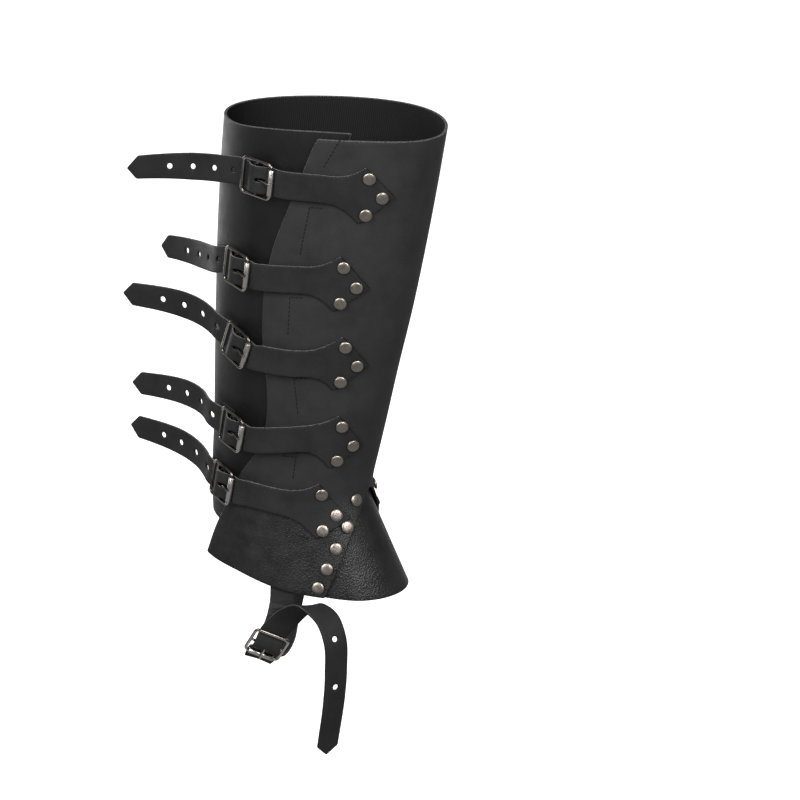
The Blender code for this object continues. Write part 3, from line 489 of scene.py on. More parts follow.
def resampled(loop, step):
    """A closed outline with points no further apart than a step."""
    points = []
    for start, end in zip(loop, loop[1:] + loop[:1]):
        count = max(1, ceil(dist(start, end) / step - 1e-6))
        for k in range(count):
            share = k / count
            points.append((start[0] + (end[0] - start[0]) * share, start[1] + (end[1] - start[1]) * share))
    return points


def rounded(loop, radius, steps=3):
    """A closed outline with its corners rounded off by small arcs."""
    points = []
    count = len(loop)
    for i, corner in enumerate(loop):
        spot = Vector(corner)
        before, after = Vector(loop[i - 1]) - spot, Vector(loop[(i + 1) % count]) - spot
        straight = before.normalized().dot(after.normalized()) < -0.97
        if straight:
            points.append(tuple(spot))
            continue
        reach = min(radius, before.length * 0.45, after.length * 0.45)
        first, last = spot + before.normalized() * reach, spot + after.normalized() * reach
        for k in range(steps + 1):
            u = k / steps
            points.append(tuple(first * (1 - u) ** 2 + spot * 2 * u * (1 - u) + last * u * u))
    return points


def offset(loop, distance):
    """A closed outline moved towards its inside by a distance, or outwards if it is negative."""
    area = sum(a[0] * b[1] - b[0] * a[1] for a, b in zip(loop, loop[1:] + loop[:1]))
    turn = copysign(1.0, area)
    moved = []
    for i, (x, y) in enumerate(loop):
        before, after = loop[i - 1], loop[(i + 1) % len(loop)]
        first = Vector((before[1] - y, x - before[0])).normalized()
        second = Vector((y - after[1], after[0] - x)).normalized()
        both = (first + second) * turn * distance / max(0.6, 1 + first.dot(second))
        moved.append((x + both.x, y + both.y))
    return moved


def cut_flat(loops, grid, apart):
    """Triangles between the loops, and each loop's places in the list of points."""
    points, edges, rings = [], [], []
    for loop in loops:
        ring = list(range(len(points), len(points) + len(loop)))
        rings.append(ring)
        points += loop
        edges += zip(ring, ring[1:] + ring[:1])
    grid = np.array(grid)
    kept = all_inside(grid, loops[0])
    for hole in loops[1:]:
        kept &= ~all_inside(grid, hole)
    grid = grid[kept]
    near = np.zeros(len(grid), bool)
    for x, y in points:
        near |= (abs(grid[:, 0] - x) < apart) & (abs(grid[:, 1] - y) < apart)
    inputs = [Vector(p) for p in points] + [Vector(p) for p in grid[~near]]
    flat, _, faces, origins, _, _ = delaunay_2d_cdt(inputs, edges, [], 2, 1e-8)
    place_of = {source: i for i, sources in enumerate(origins) for source in sources}
    middles = np.array([sum((flat[i] for i in face), Vector((0, 0))) / len(face) for face in faces])
    open_faces = np.zeros(len(faces), bool)
    for hole in loops[1:]:
        open_faces |= all_inside(middles, hole)
    faces = [list(face) for face, empty in zip(faces, open_faces) if not empty]
    return flat, faces, [[place_of[i] for i in ring] for ring in rings]


def between(rings):
    """Faces between each ring of points and the next. A ring may be a single point."""
    faces = []
    for near, far in zip(rings, rings[1:]):
        for k in range(max(len(near), len(far))):
            j = k + 1
            corners = [near[k % len(near)], near[j % len(near)], far[j % len(far)], far[k % len(far)]]
            faces.append(list(dict.fromkeys(corners)))
    return faces


def sheet(name, node, outline, place, thickness, grid, looks, holes=(), steps=SHELL_STEPS):
    """Leather piece with rounded cut edges, bent into place by place(x, y, depth under its outer face).

    looks are the materials of its outer face, its cut edges and its inner face.
    """
    step, border = steps
    loops = [resampled(outline, step)] + list(holes)
    inset = [offset(loops[0], EDGE_ROUND)] + [offset(hole, -EDGE_ROUND) for hole in holes]
    flat, faces, rings = cut_flat(inset, grid, border)
    count = len(flat)
    pattern = [(p.x, p.y) for p in flat] * 2
    points = [place(p.x, p.y, depth) for depth in (0.0, thickness) for p in flat]
    solid = faces + [[i + count for i in reversed(face)] for face in faces]
    kinds = [0] * len(faces) + [2] * len(faces)
    for loop, ring in zip(loops, rings):
        upper = [len(points) + k for k in range(len(loop))]
        lower = [i + len(loop) for i in upper]
        for depth in (EDGE_ROUND, thickness - EDGE_ROUND):
            points += [place(x, y, depth) for x, y in loop]
            pattern += loop
        edge = between([ring, upper, lower, [i + count for i in ring]])
        solid += edge
        kinds += [1] * len(edge)
    made = add_object(name, points, solid, looks, kinds, pattern)
    made.modifiers.new("face_weight", "WEIGHTED_NORMAL").keep_sharp = True
    declare(made, node)


def tube_mesh(path, radii, sides, closed=False):
    """Points and faces of a round bar along a path, with flat ends unless it closes on itself."""
    count = len(path)
    points = []
    side = None
    for i, spot in enumerate(path):
        ahead = path[(i + 1) % count] if closed or i + 1 < count else spot
        behind = path[i - 1] if closed or i else spot
        along = (ahead - behind).normalized()
        if side is None:
            side = along.orthogonal().normalized()
        side = (side - along * side.dot(along)).normalized()
        other = along.cross(side)
        points += [spot + (side * cos(u) + other * sin(u)) * radii[i] for u in full_turn(sides)]
    rings = [list(range(i * sides, (i + 1) * sides)) for i in range(count)]
    if closed:
        return points, between(rings + rings[:1])
    return points, between(rings) + [rings[0][::-1], rings[-1]]


def joined(shapes):
    """Several meshes as one list of points and faces."""
    points, faces = [], []
    for some_points, some_faces in shapes:
        first = len(points)
        points += some_points
        faces += [[i + first for i in face] for face in some_faces]
    return points, faces


def turned(seat, rows, sides, closed=False):
    """Body turned round the seat's out direction from rows of radius and out, a tube if it is closed."""
    points = []
    rings = []
    for radius, out in rows:
        turns = full_turn(sides if radius else 1)
        rings.append([len(points) + k for k in range(len(turns))])
        points += [seat.point(radius * cos(u), radius * sin(u), out) for u in turns]
    return points, between(rings + rings[:1] if closed else rings)


class Seat:
    """A small part's own frame: its middle, a direction along, one across, and one out of it."""

    def __init__(self, middle, along, out):
        self.middle = middle
        self.out = out.normalized()
        self.along = (along - self.out * along.dot(self.out)).normalized()
        self.across = self.out.cross(self.along)

    def point(self, along, across, out):
        return self.middle + self.along * along + self.across * across + self.out * out


# Shell and gusset

PATTERN_RADIUS = (TOP_LENGTH + TOP_WIDTH) / 4


def to_pattern(angle, height):
    return (radians(angle) * PATTERN_RADIUS, height)


def shell_place(x, height, depth):
    angle = degrees(x / PATTERN_RADIUS)
    return leg_point(angle, height, -under_inset(angle) - depth)


def gusset_place(x, height, depth):
    angle = degrees(x / PATTERN_RADIUS)
    return leg_point(angle, height, -UNDERSIDE - depth)


def meeting_angle(edge):
    """The angle where an edge whose angle depends on the height meets the hem."""
    angle = edge(0.0)
    for _ in range(60):
        angle += 0.5 * (edge(hem_height(angle)) - angle)
    return angle


def leg_grid(low, high, bottom, top):
    """Points over a range of angles and heights, closer together where the skirt flares."""
    heights = spread(bottom, 2 * FLARE_BEND, SHELL_ROW / 2)
    if top > 3 * FLARE_BEND:
        heights += spread(2 * FLARE_BEND, top, SHELL_ROW)[1:]
    return [to_pattern(a, h) for a in spread(low, high, SHELL_TURN) for h in heights]


def build_shell(looks):
    foot = meeting_angle(flap_angle)
    cut = meeting_angle(cut_angle)
    end = meeting_angle(under_angle)
    rim_start = flap_angle(RIM_HEIGHT)
    rim_end = under_angle(RIM_HEIGHT)
    depths = [TOE_DROP * share for share in spread(0.03, 0.93, 0.04)]
    cut_side = [(cut_angle(-depth), -depth) for depth in reversed(depths)]
    top = -FRONT_CUT[-1][0] * TOE_DROP
    outline = [(a, hem_height(a)) for a in spread(foot, -cut, HEM_TURN)]
    outline += [(-a, h) for a, h in cut_side] + [(0.0, top)] + cut_side[::-1]
    outline += [(a, hem_height(a)) for a in spread(cut, end, HEM_TURN)]
    heights = spread(hem_height(end), rim_height(rim_end), EDGE_ROW)
    outline += [(under_angle(h), h) for h in heights[1:-1]]
    outline += [(a, rim_height(a)) for a in reversed(spread(rim_start, rim_end, HEM_TURN))]
    heights = spread(hem_height(foot), rim_height(rim_start), EDGE_ROW)
    outline += [(flap_angle(h), h) for h in reversed(heights[1:-1])]
    flat = rounded([to_pattern(a, h) for a, h in outline], SHELL_CORNER)
    grid = leg_grid(foot - 10, rim_end + 50, -TOE_DROP - 0.01, RIM_HEIGHT)
    sheet("greave_shell", "shell", flat, shell_place, LEATHER, grid, looks)


def build_gusset(looks):
    lap = degrees(GUSSET_LAP / arc_radius(45, 0))
    cut = meeting_angle(cut_angle)
    heights = [-TOE_DROP * share for share in (0.72, 0.57, 0.41, 0.27, 0.11)]
    left = [(-cut - lap * 0.7, hem_height(cut) + 0.003)]
    left += [(-cut_angle(h) - lap, h) for h in heights]
    left += [(-cut_angle(heights[-1]) * 0.8 - lap * 0.5, GUSSET_RISE)]
    hem = [(a, hem_height(a)) for a in spread(-cut + 2, cut - 2, HEM_TURN)]
    outline = hem + [(-a, h) for a, h in left] + left[::-1]
    flat = [to_pattern(a, h) for a, h in outline]
    grid = leg_grid(-cut - lap, cut + lap, -TOE_DROP, GUSSET_RISE)
    sheet("toe_gusset_leather", "toe_gusset", flat, gusset_place, LEATHER, grid, looks)


# Straps


def roller_radius():
    return BUCKLE_WIRE / 2 + GAP + ROLLER_WALL


def weave(along):
    """How far the strap's middle lies outside the buckle's plane: under both bars and over the centre one."""
    under = -(roller_radius() + GAP + STRAP_LEATHER / 2)
    over = CENTRE_BAR / 2 + 2 * GAP + CHAPE_LEATHER + STRAP_LEATHER / 2
    left = -(BUCKLE_WIRE / 2 + GAP + STRAP_LEATHER / 2)
    if along < 0:
        rise = under * ease(along, -2.0 * BUCKLE_REACH, -BUCKLE_REACH)
        return rise + (over - under) * ease(along, -BUCKLE_REACH, -0.001)
    rise = over + (left - over) * ease(along, 0.001, BUCKLE_REACH)
    return rise - 0.6 * left * ease(along, BUCKLE_REACH, 2.2 * BUCKLE_REACH)


def plate_rivets():
    """Places of the three rivets of a strap's plate: distance from its tip, and up from its centre line."""
    side = PLATE_HEIGHT / 2 - 0.0080
    return ((0.0110, 0.0), (PLATE_LENGTH - 0.0035, side), (PLATE_LENGTH - 0.0045, -side))


def build_strap(name, at, bar, tip, edge, end, rounds, looks):
    """Strap of leather along the middle face at(along, across, out), with its buckle's centre bar at bar.

    tip and edge are the outline's root and one side, end is the tail's tip, and rounds are its round holes.
    """
    outline = tip + [(x, -y) for x, y in edge] + [(end, 0.0)] + edge[::-1]
    start, half = outline[0][0], edge[0][1]
    bend = 2.0 * BUCKLE_REACH
    stops = spread(start, bar - bend, STRAP_ROW) + spread(bar - bend, bar + bend, BEND_ROW)[1:]
    stops += spread(bar + bend, end, STRAP_ROW)[1:]
    grid = [(x, y) for x in stops for y in spread(-half, half, STRAP_COLUMN)]
    holes = [oval(bar - PRONG_HOLE_SHIFT, 0.0, PRONG_HOLE_LENGTH, PRONG_HOLE_WIDTH)]
    holes += [oval(x, y, diameter, diameter) for x, y, diameter in rounds]

    def place(x, y, depth):
        return at(x, y, STRAP_LEATHER / 2 - depth)

    flat = rounded(outline, STRAP_CORNER)
    sheet(f"{name}_leather", name, flat, place, STRAP_LEATHER, grid, looks, holes, STRAP_STEPS)


class Strap:
    """One strap's way round the leg.

    Distances run from the buckle's centre: back to the plate's tip, which is at -reach, and on to the tip of
    the tail. Heights across the strap run from its centre line.
    """

    step = 0.0005

    def __init__(self, row):
        self.name, tip_angle, tip_height, self.angle, self.height = row[:5]
        corner, waist, tilt, self.stand, self.turn = row[5:10]
        wrap, last_heading, spread_turn, first_rise, tip_rise = row[10:]
        self.wrap = wrap * TAIL_LENGTH
        self.before = self.track(1, lambda angle, length: angle < tip_angle)
        self.after = self.track(-1, lambda angle, length: length < self.wrap)
        self.reach = (len(self.before) - 1) * self.step
        width = STRAP_WIDTH
        self.rises = (
            (-self.reach, tip_height - self.height),
            (PLATE_LENGTH - self.reach, corner * width),
            (-0.5 * self.reach, waist * width),
            (-1.6 * BUCKLE_REACH, -1.2 * tilt * width),
            (-BUCKLE_REACH, -tilt * width),
            (BUCKLE_REACH, tilt * width),
            (2 * HOLE_SPACING, first_rise * width),
            (TAIL_LENGTH, tip_rise * width),
        )
        self.buckle = self.seat()
        self.lay_tail(last_heading, spread_turn)

    def track(self, way, more):
        """Angles at even steps along the leg from the buckle, one way round."""
        angles = [self.angle]
        while more(angles[-1], (len(angles) - 1) * self.step):
            turn = degrees(self.step / arc_radius(angles[-1], self.height))
            angles.append(angles[-1] + way * turn)
        return angles

    def lay_tail(self, last_heading, spread_turn):
        """Plan of the tail past the leg, whose heading turns from the leg's to its last one."""
        leave = leg_point(self.after[-1], self.height, self.lifted())
        way = leave - leg_point(self.after[-1] + 0.4, self.height, self.lifted())
        first = atan2(way.y, -way.x)
        count = round((TAIL_LENGTH - self.wrap) / self.step)
        self.drop = leave.z - self.height
        self.free = [leave.xy]
        self.headings = [first]
        for i in range(count):
            heading = first + (radians(last_heading) - first) * (i / count) ** spread_turn
            ahead = Vector((-cos(heading), sin(heading)))
            self.free.append(self.free[-1] + ahead * self.step)
            self.headings.append(heading)

    def lifted(self):
        """Height of the buckle's plane over the shell's outer face."""
        return 2 * GAP + STRAP_LEATHER + roller_radius() + self.stand

    def centre(self, along):
        return self.height + smooth(along, self.rises, 1)

    def lift(self, along):
        """Height of the strap's middle over the shell: laid on it at the plate, and at the buckle's plane."""
        laid = 2 * GAP + STRAP_LEATHER / 2
        plate_end = PLATE_LENGTH + 0.004 - self.reach
        share = ease(along, plate_end, -1.5 * BUCKLE_REACH)
        return laid + (self.lifted() - laid) * share + self.stand * sin(pi * share) ** 2

    def leg_angle(self, along):
        """Angle round the leg at a distance from the buckle, where the strap still follows the leg."""
        track = self.before if along < 0 else self.after
        place = min(abs(along) / self.step, len(track) - 1)
        low = int(place)
        high = min(low + 1, len(track) - 1)
        return track[low] + (track[high] - track[low]) * (place - low)

    def at(self, along, across, out=0.0):
        """Point of the strap's middle face, or a distance outside it."""
        height = self.centre(along) + across
        over = weave(along) + out
        if along <= self.wrap:
            spot = leg_point(self.leg_angle(along), height, self.lift(along) + over)
            straight = self.buckle.point(-along, across, over)
            return spot.lerp(straight, 1 - ease(abs(along), 1.1 * BUCKLE_REACH, 1.9 * BUCKLE_REACH))
        place = (along - self.wrap) / self.step
        low = min(int(place), len(self.free) - 2)
        spot = self.free[low].lerp(self.free[low + 1], place - low)
        heading = self.headings[low + 1]
        lean = form_point(self.after[-1], height) - form_point(self.after[-1], self.height)
        outward = Vector((-sin(heading), -cos(heading), 0))
        return Vector((spot.x, spot.y, self.drop)) + Vector((lean.x, lean.y, height)) + outward * over

    def build(self, looks):
        half = STRAP_WIDTH / 2
        more = PLATE_HEIGHT / 2 - half
        neck = PLATE_LENGTH - self.reach
        edge = [(neck + PLATE_NECK * u, half + more * (1 - u) ** 2.2) for u in (0, 0.2, 0.45, 0.75, 1.0)]
        edge += [(TAIL_LENGTH * 0.55, half), (TAIL_LENGTH - TAIL_POINT, TAIL_CORNER / 2)]
        rounds = [(FIRST_HOLE + HOLE_SPACING * k, 0.0, HOLE_DIAMETER) for k in range(4)]
        rounds += [(x - self.reach, y, RIVET_HOLE) for x, y in plate_rivets()]
        tip = [(-self.reach, 0.0)]
        build_strap(f"strap_{self.name}", self.at, 0.0, tip, edge, TAIL_LENGTH, rounds, looks)

    def seat(self):
        """The buckle's frame, along towards the plate."""
        middle = leg_point(self.angle, self.height, self.lifted())
        ahead, behind = (
            leg_point(self.leg_angle(along), self.centre(along), self.lifted())
            for along in (-BUCKLE_REACH, BUCKLE_REACH)
        )
        flat = Seat(middle, ahead - behind, form_normal(self.angle, self.height))
        turn = radians(self.turn)
        along = flat.along * cos(turn) + flat.out * sin(turn)
        return Seat(middle, along, flat.out * cos(turn) - flat.along * sin(turn))


class Ribbon:
    """A flat strap along a smooth route: stations with a point of its middle and the way across it there."""

    def __init__(self, stations):
        self.knots = [0.0]
        for (spot, _), (after, _) in zip(stations, stations[1:]):
            self.knots.append(self.knots[-1] + (after - spot).length)
        self.table = [(knot, *spot, *across) for knot, (spot, across) in zip(self.knots, stations)]
        self.length = self.knots[-1]

    def spot(self, along):
        return Vector([smooth(along, self.table, column) for column in (1, 2, 3)])

    def seat(self, along):
        """Frame with its first direction along the ribbon and its second one across it."""
        ahead = self.spot(along + 0.0005) - self.spot(along - 0.0005)
        across = Vector([smooth(along, self.table, column) for column in (4, 5, 6)])
        return Seat(self.spot(along), ahead, ahead.cross(across))

    def at(self, along, across, out=0.0):
        return self.seat(min(max(along, 0.0), self.length)).point(0, across, out)


# Buckles


def build_frame(name, seat, look):
    """Wire frame with rounded corners, and its centre bar."""
    half = STRAP_WIDTH / 2 + BUCKLE_WIRE / 2 + BUCKLE_SLACK
    path = []
    for sign_a, sign_b, start in ((1, 1, 0), (-1, 1, 90), (-1, -1, 180), (1, -1, 270)):
        for turn in spread(0, 90, 15):
            u = radians(start + turn)
            along = sign_a * (BUCKLE_REACH - BUCKLE_CORNER) + BUCKLE_CORNER * cos(u)
            across = sign_b * (half - BUCKLE_CORNER) + BUCKLE_CORNER * sin(u)
            path.append(seat.point(along, across, 0.0))
    wire = tube_mesh(path, [BUCKLE_WIRE / 2] * len(path), WIRE_SIDES, closed=True)
    ends = [seat.point(0, -half, 0), seat.point(0, half, 0)]
    bar = tube_mesh(ends, [CENTRE_BAR / 2] * 2, WIRE_SIDES)
    add_piece(f"buckle_{name}_wire", f"buckle_frame_{name}", joined([wire, bar]), look)


def build_roller(name, seat, look):
    """Tube that turns on the bar next to the plate, with rounded ends."""
    half = ROLLER_LENGTH / 2
    inner = BUCKLE_WIRE / 2 + GAP
    outer = inner + ROLLER_WALL
    soft = ROLLER_WALL * 0.4
    profile = [(inner, -half), (outer - soft, -half), (outer, soft - half)]
    profile += [(outer, half - soft), (outer - soft, half), (inner, half)]
    axle = Seat(seat.point(BUCKLE_REACH, 0, 0), seat.along, seat.across)
    shape = turned(axle, profile, ROLLER_SIDES, closed=True)
    add_piece(f"buckle_{name}_roller", f"roller_{name}", shape, look)


def build_prong(name, seat, look):
    """Wire hooked round the centre bar, which rises through the strap's hole to rest on the roller."""
    eye = CENTRE_BAR / 2 + GAP + PRONG_EYE_WIRE / 2
    top = roller_radius() + GAP + PRONG_WIRE / 2
    turns = [radians(-35 - 15 * k) for k in range(16)]
    rows = [(eye * cos(u), eye * sin(u), PRONG_EYE_WIRE / 2) for u in turns]
    rows += [(PRONG_LEAVE, eye * 0.86, PRONG_EYE_WIRE * 0.6), (2 * PRONG_LEAVE, eye, PRONG_WIRE / 2)]
    rows += [(BUCKLE_REACH, top, PRONG_WIRE / 2), (BUCKLE_REACH + PRONG_TIP, top - GAP, PRONG_WIRE * 0.36)]
    path = [seat.point(along, 0, out) for along, out, _ in rows]
    shape = tube_mesh(path, [row[2] for row in rows], PRONG_SIDES)
    add_piece(f"buckle_{name}_prong", f"prong_{name}", shape, look)


def build_buckle(name, seat, wire, lighter_tone):
    build_frame(name, seat, wire)
    build_roller(name, seat, lighter_tone)
    build_prong(name, seat, wire)


# Rivets


def build_rivet(name, seat, grip, look):
    """Low domed cap with a soft shoulder, and its shank."""
    head = RIVET_HEAD / 2
    rows = [(0.0, RIVET_DOME)]
    for turn in spread(10, 90, 8):
        u = radians(turn)
        rows.append((head * sin(u) ** 0.62, RIVET_LIP + (RIVET_DOME - RIVET_LIP) * cos(u) ** 0.8))
    rows += [(head * 0.90, RIVET_LIP * 0.7), (head * 0.87, 0.0)]
    rows += [(RIVET_SHANK / 2, 0.0), (RIVET_SHANK / 2, -grip), (0.0, -grip)]
    add_piece(f"{name}_cap", name, turned(seat, rows, RIVET_SIDES), look)


def build_strap_rivets(strap, look):
    rise = STRAP_LEATHER / 2 + GAP
    for i, (x, across) in enumerate(plate_rivets()):
        along = x - strap.reach
        ahead = strap.at(along + 0.001, across, rise) - strap.at(along - 0.001, across, rise)
        upward = strap.at(along, across + 0.001, rise) - strap.at(along, across - 0.001, rise)
        out = ahead.cross(upward)
        if out.dot(form_normal(strap.angle, strap.height)) < 0:
            out = -out
        seat = Seat(strap.at(along, across, rise), ahead, out)
        build_rivet(f"strap_rivet_{strap.name}_{i + 1}", seat, STRAP_LEATHER + 3 * GAP + LEATHER, look)


def build_seam_rivets(look):
    for i, (angle, height) in enumerate(seam_rivets()):
        for side, sign in (("outer", -1), ("inner", 1)):
            lift = LAPPED_RIVET_LIFT if (side, i) == LAPPED_RIVET else SEAM_RIVET_LIFT
            point = leg_point(sign * angle, height, lift)
            beside = leg_point(sign * angle + 0.5, height, lift)
            seat = Seat(point, beside - point, form_normal(sign * angle, height))
            build_rivet(f"seam_rivet_{side}_{i + 1}", seat, LEATHER + UNDERSIDE + lift, look)
def seam_rivets():
    """Angle and height of the rivets down one side of the front cut, set in from its edge."""
    spots = []
    for share in SEAM_RIVET_SHARES:
        height = -share * TOE_DROP
        radius = arc_radius(cut_angle(height), height)
        slope = (cut_angle(height - 0.004) - cut_angle(height + 0.004)) / 0.008
        lean = hypot(1.0, radians(slope) * radius)
        spots.append((cut_angle(height) + degrees(SEAM_RIVET_EDGE * lean / radius), height))
    return spots


# Foot strap


def foot_seat():
    """Frame of the foot strap's buckle, which hangs under the outer hem, along down to the foot."""
    hem = leg_point(STUB_ANGLE, hem_height(STUB_ANGLE), -LEATHER)
    middle = hem + Vector((-STUB_SET_BACK, -STUB_SET_OUT, -STUB_DROP))
    return Seat(middle, Vector(FOOT_BUCKLE_DOWN), Vector(FOOT_BUCKLE_OUT))


def build_foot_strap(seat, looks):
    """Strap from inside the inner hem, under the foot, through its buckle and over to a hanging tail."""
    hem = hem_height(FOOT_ROOT_ANGLE)
    stations = []
    for share in (1.0, 0.5, 0.0):
        height = hem + share * FOOT_ROOT_RISE
        spot = leg_point(FOOT_ROOT_ANGLE, height, -UNDERSIDE - STRAP_LEATHER / 2)
        across = form_point(FOOT_ROOT_ANGLE - 0.5, height) - form_point(FOOT_ROOT_ANGLE + 0.5, height)
        stations.append((spot, across.normalized()))
    for x, y, z in FOOT_LOOP:
        spot = Vector((x * FOOT_LOOP_SHIFT, y * FOOT_LOOP_HALF, -z * FOOT_LOOP_DROP))
        stations.append((spot, Vector((1, 0, 0))))
    shares = (-1.5, -1.0, -0.7, -0.4, 0.0, 0.4, 0.7, 1.0)
    bar = len(stations) + shares.index(0.0)
    for share in shares:
        along = share * BUCKLE_REACH
        stations.append((seat.point(-along, 0, FOOT_WEAVE * weave(along)), seat.across))
    for x, y, z, *across in FOOT_TAIL:
        spot = Vector((x * FOOT_TAIL_REACH, -y * FOOT_TAIL_OUT, -z * FOOT_TAIL_DROP))
        stations.append((spot, Vector(across).normalized()))
    ribbon = Ribbon(stations)
    half = STRAP_WIDTH / 2
    length = ribbon.length
    edge = [(0.0, half), (length * 0.5, half), (length - TAIL_POINT, TAIL_CORNER / 2)]
    starts = [length - FOOT_HOLE_START - k * FOOT_HOLE_SPACING for k in range(3)]
    rounds = [(start, 0.0, HOLE_DIAMETER) for start in starts]
    build_strap("foot_strap", ribbon.at, ribbon.knots[bar], [], edge, length, rounds, looks)


# Stitching


def stitch_mesh(middle, along, out):
    """One stitch: a flat lozenge with a raised middle."""
    seat = Seat(middle, along, out)
    points = []
    for share, size in ((-0.5, 0.35), (-0.3, 1.0), (0.3, 1.0), (0.5, 0.35)):
        for across, rise in ((-1, -0.3), (-0.7, 0.7), (0.7, 0.7), (1, -0.3)):
            side, lift = across * STITCH_WIDTH / 2 * size, rise * STITCH_HEIGHT * size
            points.append(seat.point(share * STITCH_LENGTH, side, lift))
    rings = [[i, i + 1, i + 2, i + 3] for i in (0, 4, 8, 12)]
    return points, between(rings) + [rings[0][::-1], rings[-1]]


def seam_along(path, out):
    """Stitches along a path, on a face whose direction outwards is out(point)."""
    lengths = [0.0]
    for start, end in zip(path, path[1:]):
        lengths.append(lengths[-1] + (end - start).length)
    shapes = []
    count = max(1, round(lengths[-1] / STITCH_PITCH))
    for k in range(count):
        along = (k + 0.5) * lengths[-1] / count
        i = min(bisect.bisect_right(lengths, along) - 1, len(path) - 2)
        share = (along - lengths[i]) / (lengths[i + 1] - lengths[i])
        middle = path[i].lerp(path[i + 1], share)
        shapes.append(stitch_mesh(middle, path[i + 1] - path[i], out(middle)))
    return shapes


def leg_out(point):
    centre, _, _ = half_axes(point.z)
    return Vector((point.x - centre, point.y * 2, 0)).normalized()


def build_stitching(look):
    shapes = []
    for line in FLAP_SEAMS:
        path = []
        for (a, low), (b, high) in zip(line, line[1:]):
            path += [leg_point(a + (b - a) * u, low + (high - low) * u, STITCH_RISE) for u in (0, 0.5)]
        path.append(leg_point(*line[-1], STITCH_RISE))
        shapes += seam_along(path, leg_out)
    out = Vector(STUB_OUT)
    path = [Vector(spot) + out * STITCH_RISE for spot in STUB_SEAM]
    shapes += seam_along(path, lambda point: out)
    made = add_object("stitching", *joined(shapes), [look])
    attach(made, "root")


# Looks


class Look:
    """A material under construction: its nodes and how they join."""

    def __init__(self, name, colour, roughness, metallic=0.0, specular=0.5):
        self.made = bpy.data.materials.new(name)
        self.made.use_nodes = True
        self.tree = self.made.node_tree
        self.shader = self.tree.nodes["Principled BSDF"].inputs
        self.shader["Base Color"].default_value = (*colour, 1.0)
        self.shader["Roughness"].default_value = roughness
        self.shader["Metallic"].default_value = metallic
        self.shader["Specular IOR Level"].default_value = specular
        self.coordinates = self.tree.nodes.new("ShaderNodeTexCoord").outputs
        self.bumps = []

    def join(self, source, target):
        self.tree.links.new(source, target)

    def node(self, kind, **inputs):
        """New node. Each input named is joined to a socket or set to a number."""
        made = self.tree.nodes.new(kind)
        for name, source in inputs.items():
            target = made.inputs[name.replace("_", " ")]
            if isinstance(source, bpy.types.NodeSocket):
                self.join(source, target)
            else:
                target.default_value = source
        return made

    def noise(self, scale, detail=3.0, roughness=0.5):
        spot = self.coordinates["Object"]
        made = self.node("ShaderNodeTexNoise", Vector=spot, Scale=scale, Detail=detail, Roughness=roughness)
        return made.outputs["Fac"]

    def cells(self, scale):
        made = self.node("ShaderNodeTexVoronoi", Vector=self.coordinates["Object"], Scale=scale)
        made.feature = "SMOOTH_F1"
        return made.outputs["Distance"]

    def ramp(self, source, *stops):
        """Colour from a number: stops are a place from 0 to 1 and a grey or a colour."""
        made = self.node("ShaderNodeValToRGB", Fac=source)
        for element, (place, colour) in zip(made.color_ramp.elements, stops):
            element.position = place
            tone = colour if isinstance(colour, tuple) else (colour,) * 3
            element.color = (*tone, 1.0)
        return made.outputs["Color"]

    def mottled(self, noise, low, high):
        """Grey or number that wanders from low to high with a noise."""
        *kind, first, last = noise
        return self.ramp(self.noise(*kind), (first, low), (last, high))

    def band(self, kind, axis, low, high):
        """0 where a coordinate is at low, 1 where it is at high, and a ramp between."""
        value = self.node("ShaderNodeSeparateXYZ", Vector=self.coordinates[kind]).outputs[axis]
        return self.node("ShaderNodeMapRange", Value=value, From_Min=low, From_Max=high).outputs["Result"]

    def round_band(self, low, high):
        """The same over angles round the leg."""
        return self.band("UV", "X", to_pattern(low, 0)[0], to_pattern(high, 0)[0])

    def mixed(self, factor, first, second):
        made = self.tree.nodes.new("ShaderNodeMix")
        made.data_type = "RGBA"
        for source, target in ((factor, "Factor"), (first, 6), (second, 7)):
            self.join(source, made.inputs[target])
        return made.outputs[2]

    def bump(self, height, distance, strength):
        """Bumps on top of those made before."""
        made = self.node("ShaderNodeBump", Height=height, Distance=distance, Strength=strength)
        if self.bumps:
            self.join(self.bumps[-1].outputs["Normal"], made.inputs["Normal"])
        self.join(made.outputs["Normal"], self.shader["Normal"])
        self.bumps.append(made)


def leather_look(name, tones, roughness, grain, specular=0.40):
    """Finished leather: soft waves, pebbles of strength grain and a slightly mottled tone."""
    look = Look(name, tones[1:] * 3, roughness, specular=specular)
    look.join(look.mottled(TONE_NOISE, *tones), look.shader["Base Color"])
    look.join(look.mottled(SHEEN_NOISE, roughness - 0.05, roughness + 0.06), look.shader["Roughness"])
    look.bump(look.noise(26.0, 2.0), WAVE_RELIEF, 0.22)
    look.bump(look.cells(PEBBLES), PEBBLE_RELIEF, grain)
    look.bump(look.noise(1900.0, 2.0), PORE_RELIEF, grain)
    return look


